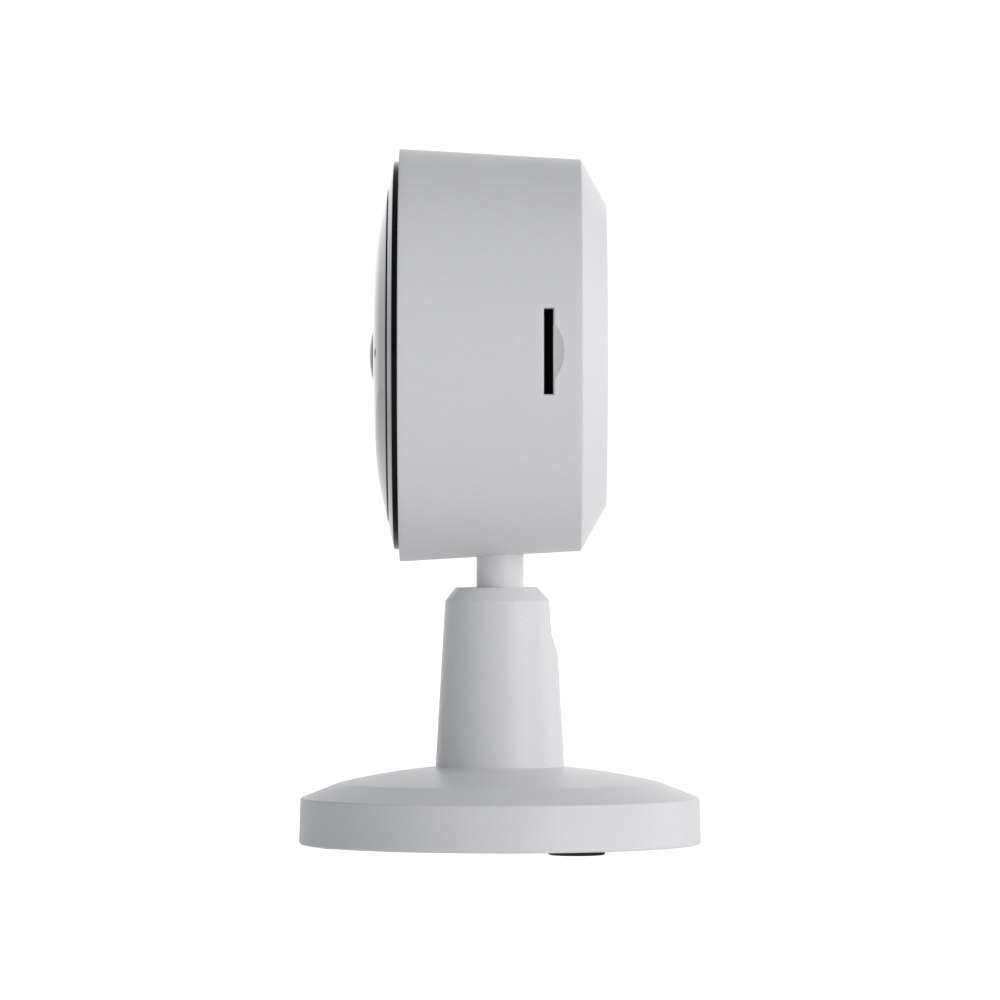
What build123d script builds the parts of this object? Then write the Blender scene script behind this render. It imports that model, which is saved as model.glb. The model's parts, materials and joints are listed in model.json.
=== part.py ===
from build123d import *
import math
import os

os.makedirs("parts", exist_ok=True)

# A small indoor security camera: a round weighted base with a conical neck, a ball stud that
# tilts in the neck, and a drum-shaped head that turns on the stud. Lengths are millimetres.
# The table is z = 0 and the neck stands on the Z axis. The lens looks along -Y, and the
# memory card goes in on the +X side.

# ---------------------------------------------------------------- driving sizes: base and neck
foot_proud = 0.66  # how far the rubber feet stand below the base shell
base_radius = 28.7
base_side_draft = 0.2  # the side wall leans in by this much
base_side_height = 6.6
shoulder_run = 5.45  # the sloping band round the top of the side wall
shoulder_rise = 2.13
dome_radius = 95.0
dome_rise = 2.26
base_wall = 2.0
neck_foot_radius = 9.4
neck_radius = 9.2
neck_top_radius = 7.83
neck_rim_radius = 6.36
neck_height = 25.64
neck_rim_height = 1.9
neck_foot_step = 0.1
base_edge_fillet = 0.35
side_edge_fillet = 0.3
neck_edge_fillet = 0.25
foot_count = 3
foot_first_angle = 30.0
foot_radius = 4.0
foot_sink = 0.5  # how deep a foot sits in the base cover
foot_edge_fillet = 0.2
foot_edge_distance = 7.2
cover_thickness = 1.6
cover_seat = 0.7  # the ledge that the base cover rests on
cover_post_height = 1.75
cover_post_radius = 4.6
cover_seat_thickness = 1.05  # under each screw's head
shell_post_radius = 3.2
ballast_thickness = 4.0
ballast_chamfer = 0.4
ballast_hub_radius = 10.2
hub_wall = 1.0
hub_height = 1.8

# ---------------------------------------------------------------- driving sizes: ball and stem
pivot_below_top = 5.6  # the ball's centre, below the top of the neck
ball_radius = 6.0
stem_radius = 3.37
stem_gap = 4.5  # the stretch of stem seen between the neck and the head
tilt_back = 90.0
tilt_forward = 15.0
cup_height = 6.0
disc_count = 4
disc_thickness = 0.5
disc_dish = 0.5
disc_hole_radius = 2.6
disc_edge_gap = 0.45
plug_height = 5.0
plug_chamfer = 0.3
hex_flats = 5.0
hex_depth = 3.0
swivel_boss_radius = 6.2
swivel_boss_height = 3.2
swivel_washer_radius = 5.6
swivel_washer_thickness = 0.8
stop_width = 0.9
stop_reach = 1.6
friction_ring_thickness = 0.7

# ---------------------------------------------------------------- driving sizes: head
drum_radius_front = 29.45
drum_taper = 1.51
drum_depth = 25.83
drum_front_y = -14.3
rear_chamfer_run = 6.34
rear_chamfer_depth = 3.57
drum_edge_fillet = 0.25
mouth_edge_fillet = 0.15
shell_wall = 2.0
rim_wall = 1.65
mouth_depth = 3.0
snap_depth = 0.4
snap_width = 0.5
snap_inset = 1.75
snap_arc = 24.0
snap_turns = (45, 135, 225, 315)
ring_edge_fillet = 0.2
ring_inner_fillet = 0.1
panel_edge_fillet = 0.15
led_board_edge_gap = 2.0
frame_proud = 0.8
ring_width = 3.7
panel_gap = 0.2
panel_step = 0.1  # the panel's rim stands this far proud of the ring's inner edge
panel_slope = 12.85
panel_bend_radius = 20.2
panel_arc_radius = 44.3
panel_thickness = 1.2
panel_skirt = 1.3
tray_lead = 0.3  # the tray floor stands this far in front of the drum's rim
tray_thickness = 1.4
skirt_thickness = 1.5
slot_width = 1.26
slot_height = 11.86
slot_bevel = 0.25
scoop_circle_radius = 8.68
scoop_reach = 1.52
scoop_sphere_radius = 17.0
grille_hole_radius = 0.6
grille_pitch = 2.3
grille_rings = 4

# ---------------------------------------------------------------- driving sizes: lens and optics
lens_bulge = 0.72
lens_cap_radius = 13.2
lens_window_radius = 3.8
lens_element_radius = 4.2
lens_lip = 0.4
lens_bowl_radius = 3.5  # the hollow in the back of the front element
lens_bowl_mouth = 2.8
lens_bore_radius = 3.05
element_pocket = 2.4  # the room for the front element, behind the lip
element_depth = 2.2
inner_elements = ((2.6, 1.5), (5.2, 1.8))  # how far behind the lip each one starts, and its thickness
inner_element_sag = 0.5
stop_depth = 5.0
stop_radius = 1.2
stop_thickness = 0.3
lock_ring_depth = 8.2
lock_ring_radius = 2.3
lock_ring_thickness = 1.1
barrel_radius = 4.9
thread_radius = 6.0
thread_length = 6.1
holder_tube_wall = 1.5
holder_tube_length = 6.0
holder_half_width = 11.5
holder_half_height = 7.5
holder_base_depth = 5.0
holder_ear_offset = 13.5
holder_ear_radius = 2.3
holder_front_wall = 1.2
holder_bore_step = 2.0  # the light opening is this much smaller than the thread
holder_screw_cover = 1.0
filter_travel = 5.5
carriage_width = 12.0
carriage_height = 9.6
carriage_thickness = 1.0
filter_window = 4.8
filter_ledge = 0.5
coil_base_width = 10.0
coil_base_depth = 3.6
coil_base_height = 0.6
coil_width = 8.4
coil_depth = 3.2
coil_height = 2.4
filter_thickness = 0.6
sensor_size = 7.8
sensor_thickness = 0.9
sensor_corner_chamfer = 0.3

# ---------------------------------------------------------------- driving sizes: electronics
main_board_thickness = 1.2
sensor_board_thickness = 1.0
led_board_thickness = 0.8
sensor_board_width = 32.0
sensor_board_height = 24.0
board_corner_radius = 1.5
sensor_post_length = 12.2
sensor_post_x = 13.4
sensor_post_z = 9.4
sensor_post_radius = 2.0
board_post_length = 7.2
board_post_radius = 2.4
board_post_inset = 4.2
board_post_angles = (90, 220, 320)
board_edge_gap = 0.8
board_floor_gap = 2.0
led_ring_radius = 13.5
led_count = 8
led_width = 2.8
led_length = 3.5
led_body_height = 0.5
led_lens_radius = 1.1
led_lens_height = 0.3
status_led_width = 0.9
status_led_length = 1.6
status_led_height = 0.6
light_sensor_width = 2.0
light_sensor_length = 1.3
light_sensor_height = 0.55
microphone_width = 3.0
microphone_length = 2.0
microphone_height = 0.5
microphone_gasket_radius = 1.3
front_sensor_radius = 15.0
status_light_radius = 0.625
status_light_offset = 16.0
microphone_hole_radius = 0.45
socket_length = 14.0
socket_width = 14.4
socket_thickness = 1.85
card_drop = 0.06  # the card's mid-plane, nearer the board than the socket's
socket_back_wall = 1.0
usb_width = 7.5
usb_height = 2.5
usb_depth = 5.2
usb_wall = 0.3
tongue_length = 4.6
tongue_width = 3.7
tongue_thickness = 0.6
tongue_rise = 0.25
usb_edge_distance = 5.6
usb_recess_width = 12.0
usb_recess_height = 8.0
usb_recess_depth = 0.6
button_radius = 1.5
button_travel = 0.4
button_distance = 5.0
button_rise = 4.0
button_flange = 0.9
button_edge_fillet = 0.2
switch_side = 4.5
switch_height = 3.0
switch_stem = 0.5
switch_stem_radius = 1.2
flange_gap = 0.1
flange_thickness = 0.9
speaker_radius = 10.0
speaker_depth = 4.4
speaker_gasket_thickness = 0.6
speaker_wall = 1.0
speaker_edge_distance = 3.6
basket_wall = 1.2
basket_floor = 0.6
magnet_thickness = 0.95
magnet_radius = 6.2
cone_edge_thickness = 0.3
cone_dome_radius = 4.0
cone_dome_thickness = 1.0
cone_inset = 0.4
gasket_width = 1.4
connector_length = 10.0
connector_gap = 1.2
header_width = 3.0
receptacle_width = 3.4
processor_rise = 3.0
shield_width = 18.0
shield_length = 16.0
shield_corner_radius = 0.8
pad_width = 14.0
pad_length = 12.0
spreader_width = 20.0
spreader_length = 18.0
shield_height = 1.8
pad_thickness = 0.5
antenna_front_y = -8.0
antenna_width = 9.0
antenna_thickness = 0.3
antenna_arc = 50.0
spreader_thickness = 0.8

# ---------------------------------------------------------------- clearances
running_clearance = 0.05  # turning and sliding fits, on the radius
fit_clearance = 0.1  # pieces that drop into place
screw_clearance = 0.03  # between a screw's shank and its threaded hole
touch_gap = 0.05  # faces that rest on each other
moving_gap = 0.3  # beside a piece that moves

# ---------------------------------------------------------------- heights and depths worked out
base_bottom = foot_proud
side_top = base_bottom + base_side_height
side_top_radius = base_radius - base_side_draft
shoulder_top = side_top + shoulder_rise
shoulder_radius = side_top_radius - shoulder_run
dome_top = shoulder_top + dome_rise
neck_top = dome_top + neck_height
pivot_z = neck_top - pivot_below_top
slot_half_width = stem_radius + fit_clearance + touch_gap / 2
foot_pitch_radius = base_radius - foot_edge_distance
neck_bore_radius = ball_radius + fit_clearance
cover_top = base_bottom + cover_thickness
cover_post_top = cover_top + cover_post_height
cup_top = pivot_z - slot_half_width
cup_bottom = cup_top - cup_height
disc_pitch = disc_thickness + disc_dish + touch_gap
plug_top = cup_bottom - disc_count * disc_pitch - touch_gap

rear_rim_y = drum_front_y + drum_depth
back_y = rear_rim_y + rear_chamfer_depth
rear_rim_radius = drum_radius_front - drum_taper
back_radius = rear_rim_radius - rear_chamfer_run
inner_back_y = back_y - shell_wall
mouth_radius = drum_radius_front - rim_wall
frame_radius = mouth_radius - running_clearance


def drum_radius(y):
    """Outer radius of the tapered drum at this depth."""
    return drum_radius_front - drum_taper * (y - drum_front_y) / drum_depth


drum_slope = drum_taper / drum_depth
chamfer_slope = rear_chamfer_run / rear_chamfer_depth
drum_inset = shell_wall * math.hypot(1, drum_slope)  # the wall's thickness, along the radius
chamfer_inset = shell_wall * math.hypot(1, chamfer_slope)
inner_rim_y = rear_rim_y - (chamfer_inset - drum_inset) / (chamfer_slope - drum_slope)
inner_back_radius = rear_rim_radius - chamfer_slope * (inner_back_y - rear_rim_y) - chamfer_inset
head_bottom = neck_top + stem_gap
head_z = head_bottom + drum_radius(0)
swivel_boss_top = head_bottom + shell_wall + swivel_boss_height
stem_top = swivel_boss_top + touch_gap
swivel_washer_top = stem_top + swivel_washer_thickness
head_axis = Axis((0, 0, head_z), (0, 1, 0))

ring_front_y = drum_front_y - frame_proud
panel_radius = frame_radius - ring_width - panel_gap
bend_y = ring_front_y - (frame_radius - panel_bend_radius) * math.tan(math.radians(panel_slope))
panel_flat_radius = panel_bend_radius - panel_arc_radius * math.sin(math.radians(panel_slope))
panel_front_y = bend_y - panel_arc_radius * (1 - math.cos(math.radians(panel_slope)))
tray_front_y = drum_front_y - tray_lead
tray_back_y = tray_front_y + tray_thickness
skirt_end_y = drum_front_y + mouth_depth - touch_gap
led_board_front_y = tray_front_y - led_board_thickness
led_board_radius = panel_radius - panel_skirt - led_board_edge_gap
sensor_board_front_y = tray_back_y + sensor_post_length
sensor_board_back_y = sensor_board_front_y + sensor_board_thickness
main_board_back_y = inner_back_y - board_post_length
main_board_front_y = main_board_back_y - main_board_thickness
main_board_radius = drum_radius(main_board_back_y) - shell_wall - board_edge_gap
slot_y = main_board_back_y + socket_thickness / 2 - card_drop
speaker_rise = back_radius - speaker_radius - speaker_wall - speaker_edge_distance
usb_z = head_z - back_radius + usb_edge_distance
button_x = -usb_recess_width / 2 - button_distance
button_z = usb_z + button_rise


def square_to_back(y, x, z):
    """A plane across the head at this depth with its middle at this x and z. It extrudes to the lens."""
    return Plane(origin=(x, y, z), x_dir=(1, 0, 0), z_dir=(0, -1, 0))



def facing_front(y):
    """A plane across the head at this depth: local x is +X, local y is up, and it extrudes to the lens."""
    return Plane(origin=(0, y, head_z), x_dir=(1, 0, 0), z_dir=(0, -1, 0))


def head_section(turn=0.0):
    """A plane through the head's axis: local x is +Y, local y is the radius, turned from straight up."""
    angle = math.radians(turn)
    return Plane(origin=(0, 0, head_z), x_dir=(0, 1, 0), z_dir=(math.cos(angle), 0, -math.sin(angle)))


def tilted_plane(angle):
    """A plane at the ball's centre, square to the stem when it leans back by this angle."""
    lean = math.radians(angle)
    return Plane(origin=(0, 0, pivot_z), x_dir=(1, 0, 0), z_dir=(0, math.sin(lean), math.cos(lean)))


def near(sketch, x, y):
    """The corner of a sketch that is nearest to this point."""
    return sketch.vertices().sort_by_distance((x, y, 0))[0]


def ring_of_spots(radius, count, first_angle):
    """Points spaced evenly round a circle, the first at this angle in degrees."""
    angles = [math.radians(first_angle + 360 * index / count) for index in range(count)]
    return [(radius * math.cos(angle), radius * math.sin(angle)) for angle in angles]


def panel_surface_y(radius, lift=0.0):
    """Depth of the front surface at this radius: a flat middle, a round shoulder and a cone."""
    if radius >= panel_bend_radius:
        run = radius - panel_bend_radius
        return bend_y + run * math.tan(math.radians(panel_slope)) + lift
    out = max(0.0, radius - panel_flat_radius)
    return panel_front_y + panel_arc_radius - math.sqrt(panel_arc_radius**2 - out**2) + lift


# Screws used in the camera: head radius, head height, shank radius, shank length.
COVER_SCREW = (2.2, 1.5, 1.0, 3.9)
SWIVEL_SCREW = (2.8, 1.7, 1.25, 6.5)
BOARD_SCREW = (1.9, 1.2, 0.8, 5.0)
SENSOR_SCREW = (1.7, 1.1, 0.75, 5.0)
recess_length = 1.15  # cross recess, in head radii
recess_width = 0.3


def pan_screw(plane, size):
    """A pan-head screw with a cross recess. Its head rests on the plane and faces along it."""
    head_radius, head_height, shank_radius, shank_length = size
    with BuildPart() as screw:
        with BuildSketch(plane):
            Circle(head_radius)
        extrude(amount=head_height)
        with BuildSketch(plane.offset(head_height)):
            Rectangle(head_radius * recess_length, head_radius * recess_width)
            Rectangle(head_radius * recess_width, head_radius * recess_length)
        extrude(amount=-head_height / 2, mode=Mode.SUBTRACT)
        with BuildSketch(plane):
            Circle(shank_radius)
        extrude(amount=-shank_length)
    return screw.part


# ================================================================ base
# The hollow under the base shell, with the three screw posts left standing in it.
shell_post_bottom = cover_post_top + touch_gap
side_inner_radius = side_top_radius - base_wall
side_inner_top = shoulder_top - shoulder_rise * (side_inner_radius - shoulder_radius) / shoulder_run
ceiling_edge = side_inner_top - base_wall
foot_spots = ring_of_spots(foot_pitch_radius, foot_count, foot_first_angle)

with BuildPart() as base_hollow:
    with BuildSketch(Plane.XZ):
        with BuildLine():
            Polyline(
                (0, base_bottom),
                (side_inner_radius + cover_seat, base_bottom),
                (side_inner_radius + cover_seat, cover_top),
                (side_inner_radius, cover_top),
                (side_inner_radius, ceiling_edge),
                (shoulder_radius, shoulder_top - base_wall),
                (neck_foot_radius, dome_top - base_wall),
                (neck_bore_radius, dome_top - base_wall),
                (neck_bore_radius, pivot_z),
                (0, pivot_z),
                close=True,
            )
        make_face()
    revolve(axis=Axis.Z)
    with BuildSketch(Plane.XY.offset(shell_post_bottom)):
        with Locations(*foot_spots):
            Circle(shell_post_radius)
    extrude(amount=dome_top, mode=Mode.SUBTRACT)
    with BuildSketch(Plane.XY.offset(shell_post_bottom)):
        with Locations(*foot_spots):
            Circle(COVER_SCREW[2] + screw_clearance)
    extrude(amount=COVER_SCREW[3] - touch_gap)

with BuildPart() as base_shell:
    with BuildSketch(Plane.XZ) as base_profile:
        with BuildLine():
            Polyline(
                (0, neck_top),
                (0, base_bottom),
                (base_radius, base_bottom),
                (side_top_radius, side_top),
                (shoulder_radius, shoulder_top),
            )
            RadiusArc((shoulder_radius, shoulder_top), (neck_foot_radius, dome_top), dome_radius)
            Polyline(
                (neck_foot_radius, dome_top),
                (neck_radius, dome_top + neck_foot_step),
                (neck_top_radius, neck_top - neck_rim_height),
                (neck_rim_radius, neck_top),
                (0, neck_top),
            )
        make_face()
        fillet(near(base_profile, base_radius, base_bottom), radius=base_edge_fillet)
        fillet(near(base_profile, side_top_radius, side_top), radius=side_edge_fillet)
        fillet(near(base_profile, neck_top_radius, neck_top - neck_rim_height), radius=neck_edge_fillet)
        fillet(near(base_profile, neck_rim_radius, neck_top), radius=neck_edge_fillet)
    revolve(axis=Axis.Z)
    add(base_hollow.part, mode=Mode.SUBTRACT)
    with Locations((0, 0, pivot_z)):
        Sphere(ball_radius + running_clearance, mode=Mode.SUBTRACT)
    # The slot that the stem swings in: round at both ends of its travel, open in between.
    swing_reach = 3 * neck_foot_radius
    for lean in (tilt_back, -tilt_forward):
        with BuildSketch(tilted_plane(lean)):
            Circle(slot_half_width)
        extrude(amount=swing_reach, mode=Mode.SUBTRACT)
    with BuildSketch(Plane.YZ):
        with BuildLine():
            forward = math.radians(tilt_forward)
            Polyline(
                (0, pivot_z),
                (-swing_reach * math.sin(forward), pivot_z + swing_reach * math.cos(forward)),
                (swing_reach, pivot_z + swing_reach),
                (swing_reach, pivot_z),
                close=True,
            )
        make_face()
    extrude(amount=slot_half_width, both=True, mode=Mode.SUBTRACT)
base_shell.part.label = "base_shell"
export_step(base_shell.part, "parts/base_shell.step")

cover_radius = side_inner_radius + cover_seat - fit_clearance
screw_seat_z = cover_post_top - cover_seat_thickness
with BuildPart() as base_cover:
    with BuildSketch(Plane.XY.offset(base_bottom)):
        Circle(cover_radius)
    extrude(amount=cover_thickness - touch_gap)
    with BuildSketch(Plane.XY.offset(base_bottom)):
        with Locations(*foot_spots):
            Circle(cover_post_radius)
    extrude(amount=cover_post_top - base_bottom)
    with BuildSketch(Plane.XY.offset(base_bottom)):
        Circle(ballast_hub_radius)
        Circle(ballast_hub_radius - hub_wall, mode=Mode.SUBTRACT)
    extrude(amount=cover_thickness + hub_height)
    with BuildSketch(Plane.XY.offset(base_bottom)):
        with Locations(*foot_spots):
            Circle(foot_radius + fit_clearance)
    extrude(amount=foot_sink, mode=Mode.SUBTRACT)
    with BuildSketch(Plane.XY.offset(base_bottom)):
        with Locations(*foot_spots):
            Circle(COVER_SCREW[0] + fit_clearance)
    extrude(amount=screw_seat_z - base_bottom, mode=Mode.SUBTRACT)
    with BuildSketch(Plane.XY.offset(base_bottom)):
        with Locations(*foot_spots):
            Circle(COVER_SCREW[2] + fit_clearance)
    extrude(amount=cover_post_top, mode=Mode.SUBTRACT)
base_cover.part.label = "base_cover"
export_step(base_cover.part, "parts/base_cover.step")

with BuildPart() as rubber_feet:
    with BuildSketch():
        with Locations(*foot_spots):
            Circle(foot_radius)
    extrude(amount=foot_proud + foot_sink)
    fillet(rubber_feet.edges().group_by(Axis.Z)[0], radius=foot_edge_fillet)
rubber_feet.part.label = "rubber_feet"
export_step(rubber_feet.part, "parts/rubber_feet.step")

with BuildPart() as cover_screws:
    for x, y in foot_spots:
        add(pan_screw(Plane(origin=(x, y, screw_seat_z), z_dir=(0, 0, -1)), COVER_SCREW))
cover_screws.part.label = "cover_screws"
export_step(cover_screws.part, "parts/cover_screws.step")

with BuildPart() as ballast_ring:
    with BuildSketch(Plane.XY.offset(cover_top)):
        Circle(foot_pitch_radius - cover_post_radius - fit_clearance)
        Circle(ballast_hub_radius + fit_clearance, mode=Mode.SUBTRACT)
    extrude(amount=ballast_thickness)
    chamfer(ballast_ring.edges().filter_by(GeomType.CIRCLE).group_by(Axis.Z)[-1], length=ballast_chamfer)
ballast_ring.part.label = "ballast_ring"
export_step(ballast_ring.part, "parts/ballast_ring.step")

with BuildPart() as friction_cup:
    with BuildSketch(Plane.XY.offset(cup_bottom)):
        Circle(neck_bore_radius - running_clearance)
    extrude(amount=cup_height)
    with Locations((0, 0, pivot_z)):
        Sphere(ball_radius + running_clearance, mode=Mode.SUBTRACT)
friction_cup.part.label = "friction_cup"
export_step(friction_cup.part, "parts/friction_cup.step")

with BuildPart() as disc_springs:
    for index in range(disc_count):
        low = plug_top + touch_gap + index * disc_pitch
        inner_lift, outer_lift = (disc_dish, 0.0) if index % 2 == 0 else (0.0, disc_dish)
        outer = neck_bore_radius - disc_edge_gap
        with BuildSketch(Plane.XZ):
            with BuildLine():
                Polyline(
                    (disc_hole_radius, low + inner_lift),
                    (outer, low + outer_lift),
                    (outer, low + outer_lift + disc_thickness),
                    (disc_hole_radius, low + inner_lift + disc_thickness),
                    close=True,
                )
            make_face()
        revolve(axis=Axis.Z)
disc_springs.part.label = "disc_springs"
export_step(disc_springs.part, "parts/disc_springs.step")

with BuildPart() as neck_plug:
    with BuildSketch(Plane.XY.offset(plug_top)):
        Circle(neck_bore_radius - running_clearance)
    extrude(amount=-plug_height)
    with BuildSketch(Plane.XY.offset(plug_top - plug_height)):
        RegularPolygon(hex_flats / 2, 6, major_radius=False)
    extrude(amount=hex_depth, mode=Mode.SUBTRACT)
    chamfer(neck_plug.edges().filter_by(GeomType.CIRCLE), length=plug_chamfer)
neck_plug.part.label = "neck_plug"
export_step(neck_plug.part, "parts/neck_plug.step")

# ================================================================ ball stud and swivel
with BuildPart() as ball_stud:
    with Locations((0, 0, pivot_z)):
        Sphere(ball_radius)
    with BuildSketch(Plane.XY.offset(pivot_z)):
        Circle(stem_radius)
    extrude(amount=stem_top - pivot_z)
    with BuildSketch(Plane.XY.offset(stem_top)):
        Circle(SWIVEL_SCREW[2] + screw_clearance)
    extrude(amount=-SWIVEL_SCREW[3], mode=Mode.SUBTRACT)
ball_stud.part.label = "ball_stud"
export_step(ball_stud.part, "parts/ball_stud.step")

# The washer's tab meets the peg on the head's boss near half a turn either way.
with BuildPart() as swivel_washer:
    with BuildSketch(Plane.XY.offset(stem_top)):
        Circle(swivel_washer_radius)
        with Locations((0, swivel_boss_radius / 2 + stop_reach / 2)):
            Rectangle(stop_width, swivel_boss_radius)
        Circle(SWIVEL_SCREW[2] + fit_clearance, mode=Mode.SUBTRACT)
    extrude(amount=swivel_washer_thickness)
swivel_washer.part.label = "swivel_washer"
export_step(swivel_washer.part, "parts/swivel_washer.step")

with BuildPart() as swivel_screw:
    length = SWIVEL_SCREW[3] + swivel_washer_thickness - touch_gap
    add(pan_screw(Plane.XY.offset(swivel_washer_top), (*SWIVEL_SCREW[:3], length)))
swivel_screw.part.label = "swivel_screw"
export_step(swivel_screw.part, "parts/swivel_screw.step")

# ================================================================ head shell
# Where the main board's three posts stand, clear of the card socket and the speaker.
post_radius_at = main_board_radius - board_post_inset
post_angles = [math.radians(angle) for angle in board_post_angles]
board_post_spots = [(post_radius_at * math.cos(a), post_radius_at * math.sin(a)) for a in post_angles]
through_cut = 1.2 * shell_wall  # deep enough to pass through the back wall
collar_reach = 0.85 * shell_wall  # the card slot's collar stops this far inside the outer face
wall_root_y = inner_back_y + shell_wall / 4  # posts start a little inside the back wall
speaker_front_y = inner_back_y - speaker_gasket_thickness - speaker_depth
slot_outer_x = drum_radius(slot_y)
collar_x = main_board_radius + fit_clearance

with BuildPart() as scoop_cutter:
    scoop_y = slot_y + slot_width / 2 + slot_bevel + scoop_reach - scoop_circle_radius
    scoop_rise = math.sqrt(scoop_sphere_radius**2 - scoop_circle_radius**2)
    with Locations((slot_outer_x + scoop_rise, scoop_y, head_z)):
        Sphere(scoop_sphere_radius)
    with Locations((slot_outer_x, slot_y, head_z)):
        reach = 4 * scoop_sphere_radius
        Box(reach, reach, reach, align=(Align.CENTER, Align.MIN, Align.CENTER), mode=Mode.INTERSECT)

with BuildPart() as housing_shell:
    with BuildSketch(head_section()) as drum_profile:
        with BuildLine():
            Polyline(
                (drum_front_y, 0),
                (drum_front_y, drum_radius_front),
                (rear_rim_y, rear_rim_radius),
                (back_y, back_radius),
                (back_y, 0),
                close=True,
            )
        make_face()
        fillet(near(drum_profile, drum_front_y, drum_radius_front), radius=mouth_edge_fillet)
        fillet(near(drum_profile, rear_rim_y, rear_rim_radius), radius=drum_edge_fillet)
        fillet(near(drum_profile, back_y, back_radius), radius=drum_edge_fillet)
    revolve(axis=head_axis)
    with BuildSketch(head_section()):
        with BuildLine():
            mouth_floor_y = drum_front_y + mouth_depth
            Polyline(
                (drum_front_y, 0),
                (drum_front_y, mouth_radius),
                (mouth_floor_y, mouth_radius),
                (mouth_floor_y, drum_radius(mouth_floor_y) - drum_inset),
                (inner_rim_y, drum_radius(inner_rim_y) - drum_inset),
                (inner_back_y, inner_back_radius),
                (inner_back_y, 0),
                close=True,
            )
        make_face()
    revolve(axis=head_axis, mode=Mode.SUBTRACT)
    with BuildSketch(head_section()):
        with Locations((drum_front_y + snap_inset + snap_width / 2, mouth_radius)):
            Rectangle(snap_width + 2 * fit_clearance, 2 * snap_depth + 2 * fit_clearance)
    revolve(axis=head_axis, mode=Mode.SUBTRACT)
    # The boss that the stem turns in, its counterbore and the peg that stops it.
    with BuildSketch(Plane.XY.offset(head_bottom + shell_wall / 2)):
        Circle(swivel_boss_radius)
        with Locations((0, -swivel_boss_radius / 2 - stop_reach / 2)):
            Rectangle(stop_width, swivel_boss_radius)
    extrude(amount=swivel_boss_top - head_bottom - shell_wall / 2)
    with BuildSketch(Plane.XY.offset(swivel_boss_top)):
        with Locations((0, -swivel_boss_radius - stop_reach / 2 - fit_clearance)):
            Rectangle(stop_width, stop_reach - 2 * fit_clearance)
    extrude(amount=swivel_washer_thickness)
    with BuildSketch(Plane.XY.offset(swivel_boss_top)):
        Circle(swivel_washer_radius)
    extrude(amount=-friction_ring_thickness - touch_gap, mode=Mode.SUBTRACT)
    with BuildSketch(Plane.XY.offset(swivel_boss_top)):
        Circle(stem_radius + running_clearance)
    extrude(amount=-swivel_boss_top + neck_top, mode=Mode.SUBTRACT)
    # Posts for the main board and the ring wall round the speaker.
    with BuildSketch(facing_front(wall_root_y)):
        with Locations(*board_post_spots):
            Circle(board_post_radius)
    extrude(amount=wall_root_y - main_board_back_y)
    with BuildSketch(facing_front(main_board_back_y)):
        with Locations(*board_post_spots):
            Circle(BOARD_SCREW[2] + screw_clearance)
    extrude(amount=-BOARD_SCREW[3], mode=Mode.SUBTRACT)
    with BuildSketch(facing_front(wall_root_y)):
        with Locations((0, speaker_rise)):
            Circle(speaker_radius + fit_clearance + speaker_wall)
            Circle(speaker_radius + fit_clearance, mode=Mode.SUBTRACT)
    extrude(amount=wall_root_y - speaker_front_y - speaker_depth / 3)
    # Openings in the back: speaker grille, power socket in a shallow recess, reset button.
    with BuildSketch(facing_front(back_y)):
        with Locations((0, speaker_rise)):
            for ring in range(grille_rings):
                with PolarLocations(ring * grille_pitch, max(1, 6 * ring)):
                    Circle(grille_hole_radius)
    extrude(amount=through_cut, mode=Mode.SUBTRACT)
    with BuildSketch(square_to_back(back_y, 0, usb_z)):
        RectangleRounded(usb_recess_width, usb_recess_height, usb_recess_height / 3)
    extrude(amount=usb_recess_depth, mode=Mode.SUBTRACT)
    with BuildSketch(square_to_back(back_y, 0, usb_z)):
        RectangleRounded(usb_width + 2 * fit_clearance, usb_height + 2 * fit_clearance, usb_height / 4)
    extrude(amount=through_cut, mode=Mode.SUBTRACT)
    with BuildSketch(square_to_back(back_y, button_x, button_z)):
        Circle(button_radius + running_clearance)
    extrude(amount=through_cut, mode=Mode.SUBTRACT)
    # The memory-card slot runs through a collar to the socket behind it.
    with BuildSketch(Plane(origin=(collar_x, 0, head_z), x_dir=(0, 1, 0), z_dir=(1, 0, 0))):
        with Locations((slot_y, 0)):
            Rectangle(2 * socket_thickness, socket_width)
    extrude(amount=slot_outer_x - collar_x - collar_reach)
    with BuildSketch(Plane(origin=(collar_x, 0, head_z), x_dir=(0, 1, 0), z_dir=(1, 0, 0))):
        with Locations((slot_y, 0)):
            Rectangle(slot_width, slot_height)
    extrude(amount=slot_outer_x, mode=Mode.SUBTRACT)
    slot_rim = housing_shell.edges().filter_by_position(Axis.Y, slot_y - slot_width, slot_y + slot_width)
    slot_rim = slot_rim.filter_by_position(Axis.X, slot_outer_x - shell_wall / 2, slot_outer_x + shell_wall)
    chamfer(slot_rim, length=slot_bevel)
    add(scoop_cutter.part, mode=Mode.SUBTRACT)
housing_shell.part.label = "housing_shell"
export_step(housing_shell.part, "parts/housing_shell.step")

with BuildPart() as friction_ring:
    with BuildSketch(Plane.XY.offset(swivel_boss_top - friction_ring_thickness - touch_gap)):
        Circle(swivel_washer_radius - fit_clearance)
        Circle(stem_radius + moving_gap, mode=Mode.SUBTRACT)
    extrude(amount=friction_ring_thickness)
friction_ring.part.label = "friction_ring"
export_step(friction_ring.part, "parts/friction_ring.step")

# ================================================================ front ring and panel
status_spot = (status_light_offset, 0)
microphone_spot = (0, -front_sensor_radius)
sensor_post_spots = [(x * sensor_post_x, z * sensor_post_z) for x in (-1, 1) for z in (-1, 1)]
ring_inner_radius = panel_radius + panel_gap
ring_inner_y = panel_surface_y(ring_inner_radius, panel_step)

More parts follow.
